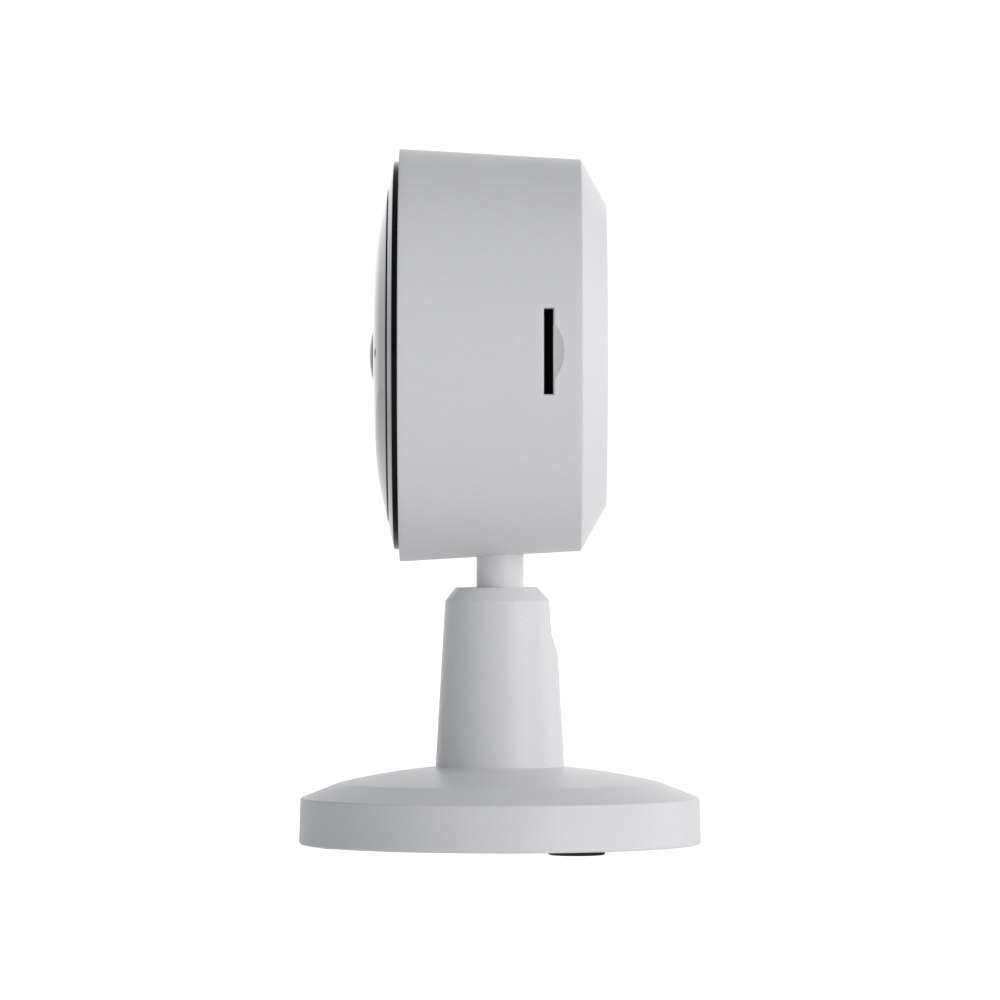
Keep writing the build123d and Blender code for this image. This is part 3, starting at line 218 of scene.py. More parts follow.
world = bpy.data.worlds.new("studio_sky")
world.use_nodes = True
scene.world = world
sky = Tree(world.node_tree)
sky.tree.nodes.clear()
direction = sky.node("ShaderNodeTexCoord", {}, {}, "Generated")
toward_x = sky.node("ShaderNodeSeparateXYZ", {}, {0: direction}, "X")
toward_y = sky.node("ShaderNodeSeparateXYZ", {}, {0: direction}, "Y")
front_to_back = sky.ramp((toward_y + 1.0) * 0.5, 0.0, 1.0, sky_in_front, sky_behind)
glow = sky.node("ShaderNodeMapRange", {"interpolation_type": "SMOOTHSTEP"}, {
    "Value": toward_x, "From Min": backdrop_starts, "From Max": backdrop_full, "To Max": backdrop_glow,
})
sky_light = sky.node("ShaderNodeVectorMath", {"operation": "ADD"}, {0: front_to_back, 1: glow})
sky.seen_or_lighting(
    sky.node("ShaderNodeBackground", {}, {"Color": tone(1, 1, 1), "Strength": backdrop_seen}),
    sky.node("ShaderNodeBackground", {}, {"Color": sky_light}),
    "ShaderNodeOutputWorld",
)
print("lights", len(bpy.data.lights), "sky", world.name)

# %% [markdown]
# The floor is a large sheet that the camera sees as plain white. For everything else it glows a
# little, more so behind the object, because a lit sweep throws light up under the base and the head.

# %% Floor
floor_reach = 20.0
seen_glow, near_glow, far_glow = 0.92, 0.28, 0.75
near_x, far_x = -0.03, -0.35  # the glow grows between these two, behind the object
floor_mesh = bpy.data.meshes.new("studio_floor")
quarter_turns = ((-1, -1), (1, -1), (1, 1), (-1, 1))
floor_mesh.from_pydata([(x * floor_reach, y * floor_reach, 0) for x, y in quarter_turns], [], [(0, 1, 2, 3)])
studio_floor = placed("studio_floor", floor_mesh)
floor_paint = bpy.data.materials.new("studio_floor_paint")
floor_paint.use_nodes = True
sweep = Tree(floor_paint.node_tree)
sweep.tree.nodes.clear()
sweep_place = sweep.node("ShaderNodeTexCoord", {}, {}, "Object")
bounce = sweep.node("ShaderNodeMapRange", {}, {
    "Value": sweep.node("ShaderNodeSeparateXYZ", {}, {0: sweep_place}, "X"),
    "From Min": near_x, "From Max": far_x, "To Min": near_glow, "To Max": far_glow,
})
matte = sweep.node("ShaderNodeBsdfDiffuse", {}, {"Color": tone(0.62, 0.62, 0.62)})
glows = [sweep.node("ShaderNodeEmission", {}, {"Strength": strength}) for strength in (seen_glow, bounce)]
seen, lighting = [sweep.node("ShaderNodeAddShader", {}, {0: shine, 1: matte}) for shine in glows]
sweep.seen_or_lighting(seen, lighting, "ShaderNodeOutputMaterial")
floor_mesh.materials.append(floor_paint)
print("floor", 2 * floor_reach, "m across")

# %% [markdown]
# White moulded plastic. A mould is spark-eroded so that the plastic comes out with a fine even
# grain that hides scratches, so the finish is matte with tiny relief, and large soft patches where
# hands have left it a shade cleaner or duller.

# %% White plastic
def moulded_plastic(name, colour, shade, roughness, grain=0.22, depth=0.022, patch=26.0):
    paint = Paint(name, IOR=1.46)
    patches = paint.noise(patch, 2.0)
    grain_field = paint.noise(grain, 4.0, 0.62)
    specks = paint.ramp(paint.noise(0.9, 6.0, 0.7), 0.36, 0.64)
    pits = paint.ramp(grain_field, 0.38, 0.62)
    wear = patches * 0.2 + specks * 0.1 + pits * 0.7
    paint.blend(wear, colour, shade)
    paint.feed("Roughness", patches * 0.10 + grain_field * 0.12 + (roughness - 0.11))
    paint.bump(grain_field, depth)
    return paint


white_plastic = moulded_plastic("white_plastic", (0.84, 0.84, 0.845), (0.78, 0.78, 0.785), 0.38)
white_base = moulded_plastic("white_base_plastic", (0.84, 0.84, 0.845), (0.775, 0.775, 0.782), 0.34)
black_plastic = moulded_plastic("black_plastic", (0.016, 0.016, 0.017), (0.024, 0.024, 0.025), 0.45)
acetal = moulded_plastic("natural_acetal", (0.72, 0.70, 0.63), (0.66, 0.64, 0.57), 0.38, 0.5, 0.004)


# %% [markdown]
# Gloss black plastic and the dark front panel. Both are polished over a near-black body, so what
# shows is the reflection. A faint film from handling and a few specks of dust change the gloss in
# patches, and a very low, wide relief keeps the reflection from being perfect.

# %% Gloss black
def polished(name, colour, haze, film, base, mirror):
    paint = Paint(name, IOR=1.5, Specular_IOR_Level=mirror)
    smudge = paint.ramp(paint.noise(7.0, 5.0, 0.6), 0.42, 0.75)
    dust = paint.ramp(paint.noise(0.35, 3.0, 0.6), 0.70, 0.80)
    paint.blend(dust * 0.35 + smudge * 0.2, colour, haze)
    paint.feed("Roughness", smudge * film + dust * 0.04 + base)
    paint.bump(paint.noise(11.0, 1.0), 0.004, 0.5)
    return paint


gloss_black = polished("gloss_black", (0.0025, 0.0025, 0.003), (0.006, 0.006, 0.007), 0.05, 0.10, 0.16)
dark_panel = polished("dark_panel", (0.0030, 0.0030, 0.0038), (0.008, 0.008, 0.009), 0.03, 0.03, 0.36)
print("materials so far", len(bpy.data.materials))

# %% [markdown]
# Rubber for the feet: darker and duller than any of the plastics, with a fine moulded pebble and a
# little pale dust in it, because a foot picks up whatever is on the table.

# %% Rubber and soft pieces
def soft_finish(name, colour, dusty, roughness, pebble, depth):
    paint = Paint(name, IOR=1.5)
    dust = paint.ramp(paint.noise(1.6, 6.0, 0.7), 0.45, 0.80)
    pebbles = paint.noise(pebble, 3.0, 0.6)
    paint.blend(dust, colour, dusty)
    paint.feed("Roughness", dust * 0.12 + pebbles * 0.10 + (roughness - 0.1))
    paint.bump(pebbles, depth)
    return paint


rubber = soft_finish("foot_rubber", (0.020, 0.020, 0.021), (0.060, 0.058, 0.055), 0.80, 0.18, 0.03)
foam = soft_finish("gasket_foam", (0.025, 0.025, 0.027), (0.05, 0.05, 0.05), 0.92, 0.30, 0.12)
cone_paper = soft_finish("speaker_cone_paper", (0.045, 0.042, 0.040), (0.09, 0.085, 0.08), 0.85, 0.45, 0.05)
thermal_gel = soft_finish("thermal_gel", (0.30, 0.36, 0.46), (0.40, 0.45, 0.52), 0.62, 0.5, 0.02)


# %% [markdown]
# Metals. Plated steel and brushed aluminium both owe their look to fine lines left by rolling, so
# the noise is stretched along one direction before it drives gloss and relief.

# %% Metals
def worked_metal(name, colour, tarnish, roughness, stretch, line, depth):
    paint = Paint(name, Metallic=1.0)
    along = paint.node("ShaderNodeMapping", {}, {"Vector": paint.place, "Scale": stretch}, "Vector")
    lines = paint.noise(line, 4.0, 0.65, place=along)
    stains = paint.ramp(paint.noise(3.5, 5.0, 0.6), 0.50, 0.85)
    paint.blend(stains * 0.6 + lines * 0.2, colour, tarnish)
    paint.feed("Roughness", lines * 0.16 + stains * 0.18 + (roughness - 0.08))
    paint.bump(lines, depth)
    return paint


steel = worked_metal("plated_steel", (0.60, 0.60, 0.58), (0.40, 0.38, 0.35), 0.30, (1, 12, 1), 0.5, 0.006)
cast_steel = worked_metal("pressed_steel", (0.30, 0.30, 0.31), (0.17, 0.14, 0.12), 0.55, (1, 1, 1), 0.35, 0.02)
aluminium = worked_metal("rolled_aluminium", (0.77, 0.78, 0.79), (0.60, 0.60, 0.61), 0.34, (1, 1, 14), 0.6, 0.006)
copper = worked_metal("wound_copper", (0.78, 0.36, 0.20), (0.40, 0.16, 0.09), 0.32, (16, 1, 1), 0.7, 0.03)


# %% [markdown]
# A circuit board is glass cloth under green varnish, with copper tracks that lift the varnish a
# little. Square cells of different shades stand for the tracks and the pads between them.

# %% Circuit boards, chips and LED resin
def board_varnish():
    paint = Paint("circuit_board", IOR=1.5, Coat_Roughness=0.12)
    cells = paint.node(
        "ShaderNodeTexVoronoi", {"distance": "CHEBYCHEV", "feature": "F1"},
        {"Vector": paint.place, "Scale": 1.0 / (1.3 * MM), "Randomness": 0.45}, "Distance",
    )
    tracks = paint.ramp(cells, 0.40, 0.44)
    cloth = paint.node(
        "ShaderNodeTexWave", {"wave_type": "BANDS"}, {"Vector": paint.place, "Scale": 1.0 / (0.9 * MM)}, "Fac"
    )
    paint.blend(tracks * 0.8 + cloth * 0.1, (0.006, 0.060, 0.026), (0.02, 0.14, 0.06))
    paint.feed("Roughness", paint.noise(2.0, 3.0) * 0.16 + 0.26)
    paint.feed("Coat Weight", 0.6 - tracks * 0.2)
    paint.bump(tracks, 0.02)
    return paint


circuit_board = board_varnish()
chip = moulded_plastic("chip_resin", (0.022, 0.022, 0.024), (0.040, 0.040, 0.042), 0.48, 0.3, 0.008, 4.0)
led_resin = moulded_plastic("led_resin", (0.80, 0.76, 0.56), (0.70, 0.62, 0.38), 0.30, 0.4, 0.003, 1.4)


# %% [markdown]
# Coated glass. A camera lens carries a film a fraction of a light wave thick, which turns its
# reflections violet and green. The shader's thin-film sockets do the same sum. Dust and a faint
# wipe mark change the roughness, so the reflection isn't perfect all over.

# %% Glass and clear plastic
def clear_stuff(name, colour, film, index, film_index=1.38, wipe=0.05, base=0.01):
    paint = Paint(name, IOR=index, Thin_Film_Thickness=film, Thin_Film_IOR=film_index, Transmission_Weight=1.0)
    wipes = paint.ramp(paint.noise(2.4, 4.0, 0.6), 0.45, 0.85)
    dust = paint.ramp(paint.noise(0.12, 2.0, 0.5), 0.72, 0.80)
    paint.blend(dust * 0.3 + wipes * 0.1, colour, (0.5, 0.5, 0.5))
    paint.feed("Roughness", wipes * wipe + dust * 0.10 + base)
    return paint


lens_glass = clear_stuff("coated_lens_glass", (0.035, 0.040, 0.050), 430.0, 1.36, 1.27)
filter_glass = clear_stuff("filter_glass", (0.45, 0.80, 0.84), 300.0, 1.50)
light_pipe = moulded_plastic("frosted_light_pipe", (0.84, 0.77, 0.79), (0.78, 0.71, 0.73), 0.40, 0.3, 0.004, 1.2)
finishes = dict(
    white_plastic=white_plastic, black_plastic=black_plastic, gloss_black=gloss_black, dark_panel=dark_panel,
    lens_glass=lens_glass, filter_glass=filter_glass, light_pipe=light_pipe, rubber=rubber, steel=steel,
    cast_steel=cast_steel, aluminium=aluminium, pom=acetal, circuit_board=circuit_board, chip=chip,
    led_resin=led_resin, copper=copper, thermal_gel=thermal_gel, foam=foam, cone_paper=cone_paper,
)
print("finishes", len(finishes))

# %% [markdown]
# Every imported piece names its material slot, so one loop dresses the whole inside of the camera.
# The pieces that are made again further on replace some of these.

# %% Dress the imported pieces
slot_of = {part["node"]: part["material_slot"] for part in frame["record"]["subparts"]}
for node_name, node in nodes.items():
    dress(node, finishes[slot_of[node_name]])
print("dressed", len(nodes), "packed pieces")

# %% [markdown]
# Nearly every visible piece of this camera is turned: it is round about the neck's upright axis or
# about the head's level one. A lathe function takes an outline of (radius, along) points and spins
# it. Corners get a small fillet first, because no moulded edge is perfectly sharp.

# %% Outline and lathe helpers
head_low, head_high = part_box("housing_shell")
head_z = (head_low.z + head_high.z) / 2 / MM
neck_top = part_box("base_shell")[1].z / MM
print("head axis at", round(head_z, 3), "mm, neck top at", round(neck_top, 3), "mm")


def rounded(corners, steps=7):
    """An outline through corners of (radius, along, fillet), with each fillet drawn as a short arc."""
    outline = []
    for index, (radius, along, fillet) in enumerate(corners):
        here = Vector((radius, along))
        if not fillet:
            outline.append(here)
            continue
        back = Vector(corners[index - 1][:2]) - here
        ahead = Vector(corners[(index + 1) % len(corners)][:2]) - here
        half = back.angle(ahead) / 2
        start = here + back.normalized() * fillet / math.tan(half)
        end = here + ahead.normalized() * fillet / math.tan(half)
        centre = here + (back.normalized() + ahead.normalized()).normalized() * fillet / math.sin(half)
        first, last = start - centre, end - centre
        turn = math.atan2(first.x * last.y - first.y * last.x, first.dot(last))
        outline += [centre + Matrix.Rotation(turn * step / steps, 2) @ first for step in range(steps + 1)]
    return outline


def spread(outline, longest=1.0):
    """The same closed outline with long stretches split up, so that cuts and shading stay local."""
    finer = []
    for point, after in zip(outline, outline[1:] + outline[:1]):
        pieces = max(1, math.ceil((after - point).length / longest))
        finer += [point.lerp(after, step / pieces) for step in range(pieces)]
    return finer


def arc(centre, radius, first, last, steps):
    """Points on a circle from one angle to another, in degrees from the radius direction."""
    angles = [math.radians(first + (last - first) * step / steps) for step in range(steps + 1)]
    return [Vector((centre[0] + radius * math.cos(a), centre[1] + radius * math.sin(a))) for a in angles]


def about_neck(radius, along, turn):
    return (radius * math.cos(turn), radius * math.sin(turn), along)


def about_head(radius, along, turn):
    return (radius * math.cos(turn), along, head_z + radius * math.sin(turn))


def solid(name, points, faces):
    """An object from points in millimetres, with its faces turned outwards."""
    mesh = bpy.data.meshes.new(name)
    mesh.from_pydata([Vector(point) * MM for point in points], [], faces)
    work = bmesh.new()
    work.from_mesh(mesh)
    bmesh.ops.recalc_face_normals(work, faces=work.faces)
    work.to_mesh(mesh)
    work.free()
    return placed(name, mesh)


def lathe(name, outline, place, columns=240):
    """Spins a closed outline. Points on the axis become poles."""
    points, rows, faces = [], [], []
    for radius, along in outline:
        count = 1 if abs(radius) < 1e-6 else columns
        rows.append([len(points) + column for column in range(count)])
        points += [place(radius, along, math.tau * column / columns) for column in range(count)]
    for row, after in zip(rows, rows[1:] + rows[:1]):
        if len(row) == len(after) == 1:
            continue
        for column in range(columns):
            beside = (column + 1) % columns
            corners = [ring[spot % len(ring)] for ring, spot in (
                (row, column), (after, column), (after, beside), (row, beside),
            )]
            faces.append(tuple(dict.fromkeys(corners)))
    return solid(name, points, faces)


def loft(name, rings):
    """A closed solid through rings of points, each ring with its middle capped by a fan."""
    points, faces, count = [], [], len(rings[0])
    for ring in rings:
        points += ring
    for level in range(len(rings) - 1):
        for index in range(count):
            beside = (index + 1) % count
            low, up = level * count, (level + 1) * count
            faces.append((low + index, low + beside, up + beside, up + index))
    for ring, first in ((rings[0], 0), (rings[-1], (len(rings) - 1) * count)):
        middle = len(points)
        points.append(sum((Vector(point) for point in ring), Vector()) / count)
        faces += [(first + index, first + (index + 1) % count, middle) for index in range(count)]
    return solid(name, points, faces)


# %% [markdown]
# Holes are cut with boolean modifiers. The cutter and the piece are both closed solids, so the fast
# manifold solver works, and the result is read back as a plain mesh before the next step.

# %% Cutting and finishing helpers
def carve(piece, *cutters, operation="DIFFERENCE"):
    """Cuts each cutter out of a piece, or joins it on, and throws the cutter away."""
    for cutter in cutters:
        modifier = piece.modifiers.new("carve", "BOOLEAN")
        modifier.operation = operation
        modifier.solver = "MANIFOLD"
        modifier.object = cutter
        plain(piece)
        bpy.data.objects.remove(cutter)


def plain(piece):
    """Turns a piece's modifiers into mesh."""
    graph = bpy.context.evaluated_depsgraph_get()
    ready = piece.evaluated_get(graph)
    mesh = bpy.data.meshes.new_from_object(ready, preserve_all_data_layers=True, depsgraph=graph)
    piece.modifiers.clear()
    piece.data = mesh


def surface(piece, crease=24, crisp_ring=None):
    """Smooth shading that breaks at edges sharper than this many degrees, with large faces flat.

    A crisp ring of (radius, along) about the neck's axis is kept sharp whatever its angle.
    """
    work = bmesh.new()
    work.from_mesh(piece.data)
    bmesh.ops.remove_doubles(work, verts=work.verts, dist=1e-7)
    bmesh.ops.dissolve_degenerate(work, edges=work.edges, dist=1e-7)
    work.to_mesh(piece.data)
    work.free()
    piece.data.shade_smooth()
    piece.data.set_sharp_from_angle(angle=math.radians(crease))
    if crisp_ring:
        ring_spot = Vector(crisp_ring) * MM
        spots = [Vector((vertex.co.xy.length, vertex.co.z)) for vertex in piece.data.vertices]
        for edge in piece.data.edges:
            on_ring = all((spots[index] - ring_spot).length < 1e-6 for index in edge.vertices)
            edge.use_edge_sharp = edge.use_edge_sharp or on_ring
    weighted = piece.modifiers.new("even_shading", "WEIGHTED_NORMAL")
    weighted.keep_sharp = True
    plain(piece)


def install(piece, paint, body, slot, *replaced, **shading):
    """Smooths and dresses a finished piece, and ties it to the frame."""
    surface(piece, **shading)
    piece.data.materials.clear()
    piece.data.materials.append(paint.material)
    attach(piece, body)
    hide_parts(*replaced)
    print(piece.name, len(piece.data.polygons), "faces on", body)


# %% [markdown]
# The round base and its neck are one moulding: a low side wall, a sloping shoulder, a very shallow
# dome and a slim cone. Underneath it is hollow for the ballast. One closed outline holds the outer
# skin and the inner one, so the wall has a real thickness.

# %% Base shell
base_bottom = 0.66
side_foot_radius, side_top_radius, side_top_z = 28.7, 28.5, 7.26
dome_edge, dome_crown, dome_radius = (23.05, 9.39), (9.4, 11.65), 95.0
neck_root_radius, neck_root_z = 9.2, 11.75
neck_shoulder_radius, neck_shoulder_z, neck_rim_radius = 7.83, 35.39, 6.36
base_wall = 2.0
inner_side_radius, inner_side_top = 26.5, 6.04
cover_seat_radius, cover_top = 27.2, 2.26


def dome_arc(dome_steps=14):
    """The shallow dome between the shoulder and the foot of the neck."""
    edge, crown = Vector(dome_edge), Vector(dome_crown)
    middle, half = (edge + crown) / 2, (crown - edge) / 2
    across = Vector((half.y, -half.x)).normalized()
    if across.y > 0:
        across = -across
    centre = middle + across * math.sqrt(dome_radius**2 - half.length**2)
    spokes = [edge.lerp(crown, step / dome_steps) - centre for step in range(dome_steps + 1)]
    return [centre + spoke.normalized() * dome_radius for spoke in spokes]


outer_skin = rounded([
    (cover_seat_radius, base_bottom, 0), (side_foot_radius, base_bottom, 0.35),
    (side_top_radius, side_top_z, 0.3), (*dome_edge, 0), (*dome_crown, 0),
])[:-1]
neck_skin = rounded([
    (*dome_crown, 0), (neck_root_radius, neck_root_z, 0), (neck_shoulder_radius, neck_shoulder_z, 0.25),
    (neck_rim_radius, neck_top, 0.25), (0, neck_top, 0),
])
ceiling_z = dome_crown[1] - base_wall
inner_skin = [Vector(point) for point in (
    (0, ceiling_z), (dome_crown[0], ceiling_z), (dome_edge[0], dome_edge[1] - base_wall),
    (inner_side_radius, inner_side_top), (inner_side_radius, cover_top), (cover_seat_radius, cover_top),
)]
base_outline = spread(outer_skin + dome_arc()[1:] + neck_skin[1:] + inner_skin, 1.2)
base_skin = lathe("base_skin", base_outline, about_neck, 300)
print("base outline", len(base_outline), "points")

# %% [markdown]
# The ball sits in a hollow near the top of the neck, and the stem swings back through a slot. The
# cutter for that slot is a fan of outlines around the ball's centre: flat sides in the middle and a
# half circle at each end of the stem's travel.

# %% Ball seat and slot
pivot_z, ball_radius, slot_half_width = 31.69, 6.0, 3.495
running_clearance = 0.05
bore_radius, bore_floor_z = 6.1, 8.0
slot_end_steps = 16


def swing_ring(distance, lean_low=-15.0, lean_high=90.0, steps=24):
    """One outline of the slot at this distance from the ball's centre."""
    ring = []
    for side in (1, -1):
        leans = [lean_low + (lean_high - lean_low) * step / steps for step in range(steps + 1)]
        for lean in leans if side > 0 else reversed(leans):
            a = math.radians(lean)
            ring.append((side * slot_half_width, distance * math.sin(a), pivot_z + distance * math.cos(a)))
        end = math.radians(lean_high if side > 0 else lean_low)
        for step in range(1, slot_end_steps):
            swing = math.pi * step / slot_end_steps
            out = slot_half_width * math.sin(swing) * side
            x = side * slot_half_width * math.cos(swing)
            y = distance * math.sin(end) + out * math.cos(end)
            z = pivot_z + distance * math.cos(end) - out * math.sin(end)
            ring.append((x, y, z))
    return ring


slot_cutter = loft("slot_cutter", [swing_ring(distance) for distance in (1.0, 6.0, 12.0, 30.0)])
seat_outline = arc((0, pivot_z), ball_radius + running_clearance, -90, 90, 40)
seat_outline[0].x = seat_outline[-1].x = 0.0
seat_cutter = lathe("seat_cutter", seat_outline, about_neck, 96)


def tube(radius, low, high, columns=64, place=about_neck):
    """A cylinder on one of the two axes, to be copied, joined on or used for cutting."""
    outline = [Vector(point) for point in ((0, low), (radius, low), (radius, high), (0, high))]
    return lathe("tube", outline, place, columns)


carve(base_skin, tube(bore_radius, bore_floor_z, pivot_z, 96), seat_cutter, slot_cutter)
install(base_skin, white_base, "base", "white_plastic", "base_shell", crisp_ring=dome_edge)

# %% [markdown]
# Three rubber feet stand in shallow round pockets under the base. They repeat round a circle, so a
# Geometry Nodes tree places them: a Points node makes the spots, and each spot gets a copy of one
# foot. The same tree places the perforations of the speaker grille later on.

# %% Tree that repeats a piece round a circle
def round_pattern_tree():
    group = bpy.data.node_groups.new("round_pattern", "GeometryNodeTree")
    group.interface.new_socket("Geometry", in_out="OUTPUT", socket_type="NodeSocketGeometry")
    for label, kind in (
        ("Piece", "Object"), ("Count", "Int"), ("Ring radius", "Float"), ("First angle", "Float"),
        ("Finish", "Material"),
    ):
        group.interface.new_socket(label, in_out="INPUT", socket_type="NodeSocket" + kind)
    pattern = Tree(group)
    entry = group.nodes.new("NodeGroupInput")
    given = {socket.name: Field(pattern, socket) for socket in entry.outputs}
    number = pattern.node("GeometryNodeInputIndex", {}, {})
    angle = number.math("DIVIDE", number * math.tau, given["Count"]) + given["First angle"]
    turning = [pattern.node("ShaderNodeMath", {"operation": kind}, {0: angle}) for kind in ("COSINE", "SINE")]
    x, y = [share * given["Ring radius"] for share in turning]
    spot = pattern.node("ShaderNodeCombineXYZ", {}, {0: x, 1: y})
    spots = pattern.node("GeometryNodePoints", {}, {"Count": given["Count"], "Position": spot})
    source = pattern.node("GeometryNodeObjectInfo", {}, {"Object": given["Piece"]}, "Geometry")
    copies = pattern.node("GeometryNodeInstanceOnPoints", {}, {"Points": spots, "Instance": source})
    real = pattern.node("GeometryNodeRealizeInstances", {}, {0: copies})
    painted = pattern.node("GeometryNodeSetMaterial", {}, {"Geometry": real, "Material": given["Finish"]})
    pattern.node("NodeGroupOutput", {}, {0: painted})
    return group


round_pattern = round_pattern_tree()


def repeated(name, piece, count, ring_radius, first_angle, paint):
    """Copies of a piece round a circle in the XY plane, as one plain mesh. The piece is used up."""
    group = placed(name, bpy.data.meshes.new(name))
    modifier = group.modifiers.new("round_pattern", "NODES")
    modifier.node_group = round_pattern
    values = {
        "Piece": piece, "Count": count, "Ring radius": ring_radius * MM,
        "First angle": math.radians(first_angle), "Finish": paint.material,
    }
    for item in round_pattern.interface.items_tree:
        if item.in_out == "INPUT":
            modifier[item.identifier] = values[item.name]
    plain(group)
    bpy.data.objects.remove(piece)
    return group


# %% Rubber feet
foot_radius, foot_top = 4.0, 1.16
sole_radius, sole_rise = 2.7, 0.06
foot_circle = (3, 21.5, 30)  # how many, on what radius, and the first one's angle
foot_outline = rounded([
    (0, sole_rise, 0), (sole_radius, sole_rise, 0), (sole_radius + 0.15, 0, 0.04), (foot_radius, 0, 0.3),
    (foot_radius, foot_top, 0.1), (0, foot_top, 0),
])
one_foot = lathe("one_foot", spread(foot_outline, 0.8), about_neck, 72)
rubber_feet = repeated("rubber_feet_set", one_foot, *foot_circle, rubber)
install(rubber_feet, rubber, "base", "rubber", "rubber_feet")

# %% [markdown]
# The cover closes the underside. It is a plain disc to look at, with a small step round its edge and
# pockets that the feet sit in. The tubes above the pockets carry the screws into the base shell.

# %% Base cover
cover_radius, cover_inner_z = 27.1, 2.21
rib_outer_radius, rib_inner_radius, rib_top = 10.2, 9.2, 4.06
post_radius, post_low, post_top = 4.6, 1.0, 4.01
foot_pocket, screw_head_well, screw_hole = (4.1, 1.16), (2.3, 2.96), (1.1, 5.0)  # radius and top
cover_outline = rounded([
    (0, base_bottom, 0), (cover_radius, base_bottom, 0.2), (cover_radius, cover_inner_z, 0.1),
    (rib_outer_radius, cover_inner_z, 0), (rib_outer_radius, rib_top, 0.2), (rib_inner_radius, rib_top, 0.2),
    (rib_inner_radius, cover_inner_z, 0), (0, cover_inner_z, 0),
])
base_cover = lathe("base_cover_disc", spread(cover_outline, 1.5), about_neck, 240)
one_post = tube(post_radius, post_low, post_top)
carve(base_cover, repeated("cover_posts", one_post, *foot_circle, white_base), operation="UNION")
for radius, high in (foot_pocket, screw_head_well, screw_hole):
    carve(base_cover, repeated("screw_wells", tube(radius, -1.0, high), *foot_circle, white_base))
install(base_cover, white_base, "base", "white_plastic", "base_cover")

# %% [markdown]
# The ball and its stem are one turned piece. Where the stem leaves the ball there is a tiny fillet,
# and a blind hole in the top takes the swivel screw.

# %% Ball stud
stem_radius, stem_top = 3.37, 47.04
screw_bore_radius, screw_bore_floor_z = 1.28, 40.54
ball_join = math.degrees(math.acos(stem_radius / ball_radius))
ball_part = arc((0, pivot_z), ball_radius, -90, ball_join, 60)
ball_part[0].x = 0.0
stem_part = rounded([
    (stem_radius, ball_part[-1].y, 0), (stem_radius, stem_top, 0.15), (screw_bore_radius, stem_top, 0),
    (screw_bore_radius, screw_bore_floor_z, 0), (0, screw_bore_floor_z, 0),
])
ball_stud = lathe("ball_and_stem", spread(ball_part + stem_part[1:], 1.2), about_neck, 160)
install(ball_stud, white_plastic, "stem", "white_plastic", "ball_stud")

# %% [markdown]
# The head's shell is a drum that narrows slightly to the back and ends in a wide chamfer and a flat
# face. It is open at the front, where the black ring drops into a step. As with the base, a single
# closed outline carries the outside and the inside.

# %% Head shell
drum_front_y, rear_rim_y, back_y = -14.3, 11.53, 15.1
drum_front_radius, rear_rim_radius, back_radius = 29.45, 27.94, 21.6
mouth_radius, mouth_floor_y = 27.8, -11.3
inner_front_radius, inner_rear_radius, inner_rear_y = 27.27, 26.01, 10.34
inner_back_radius, inner_back_y = 21.16, 13.1


def drum_radius(y):
    """Outer radius of the drum at this depth."""
    taper = (drum_front_radius - rear_rim_radius) / (rear_rim_y - drum_front_y)
    return drum_front_radius - taper * (y - drum_front_y)


shell_outline = rounded([
    (0, back_y, 0), (back_radius, back_y, 0.35), (rear_rim_radius, rear_rim_y, 0.3),
    (drum_front_radius, drum_front_y, 0.16), (mouth_radius, drum_front_y, 0.16), (mouth_radius, mouth_floor_y, 0),
    (inner_front_radius, mouth_floor_y, 0), (inner_rear_radius, inner_rear_y, 0.5),
    (inner_back_radius, inner_back_y, 0.5), (0, inner_back_y, 0),
])
head_shell = lathe("head_shell", spread(shell_outline, 0.9), about_head, 360)

# %% [markdown]
# The card slot is cut straight in, and its edge has a narrow bevel that follows the curve of the
# drum. The cutter is a loft of rectangles whose points are laid on the drum's surface, a little
# under it, at it and over it. Beside the slot a shallow spherical hollow lets a fingernail in.

# %% Card slot and fingernail hollow
slot_y, slot_width, slot_height, slot_bevel = 6.76, 1.26, 11.86, 0.25
lip_width, lip_depth, draft_depth = 0.09, 0.16, 1.2  # the slot flares a little towards its mouth
overshoot, card_room_x = 0.4, 20.0


def drum_surface_x(y, z):
    return math.sqrt(drum_radius(y) ** 2 - z**2)


def slot_ring(lift, grow, flat_x=None):
    """A rectangle round the slot, grown sideways and lifted off the drum."""
    half_w, half_h = slot_width / 2 + grow, slot_height / 2 + grow
    sides = [(-half_w, -half_h), (half_w, -half_h), (half_w, half_h), (-half_w, half_h)]
    ring = []
    for (y0, z0), (y1, z1) in zip(sides, sides[1:] + sides[:1]):
        pieces = 30 if abs(z1 - z0) > abs(y1 - y0) else 3
        for step in range(pieces):
            y = slot_y + y0 + (y1 - y0) * step / pieces
            z = z0 + (z1 - z0) * step / pieces
            x = drum_surface_x(y, z) + lift if flat_x is None else flat_x
            ring.append((x, y, head_z + z))
    return ring


card_cutter = loft("card_cutter", [
    slot_ring(0, 0, card_room_x), slot_ring(-draft_depth, 0), slot_ring(-lip_depth, lip_width),
    slot_ring(0, slot_bevel), slot_ring(overshoot, slot_bevel + overshoot),
])
hollow_radius, hollow_mouth_radius, hollow_reach = 17.0, 8.68, 1.52
hollow_lid = -2.0
slot_outer_x = drum_radius(slot_y)
hollow_y = slot_y + slot_width / 2 + slot_bevel + hollow_reach - hollow_mouth_radius
hollow_x = slot_outer_x + math.sqrt(hollow_radius**2 - hollow_mouth_radius**2)


def about_hollow(radius, along, turn):
    return (hollow_x + along, hollow_y + radius * math.cos(turn), head_z + radius * math.sin(turn))


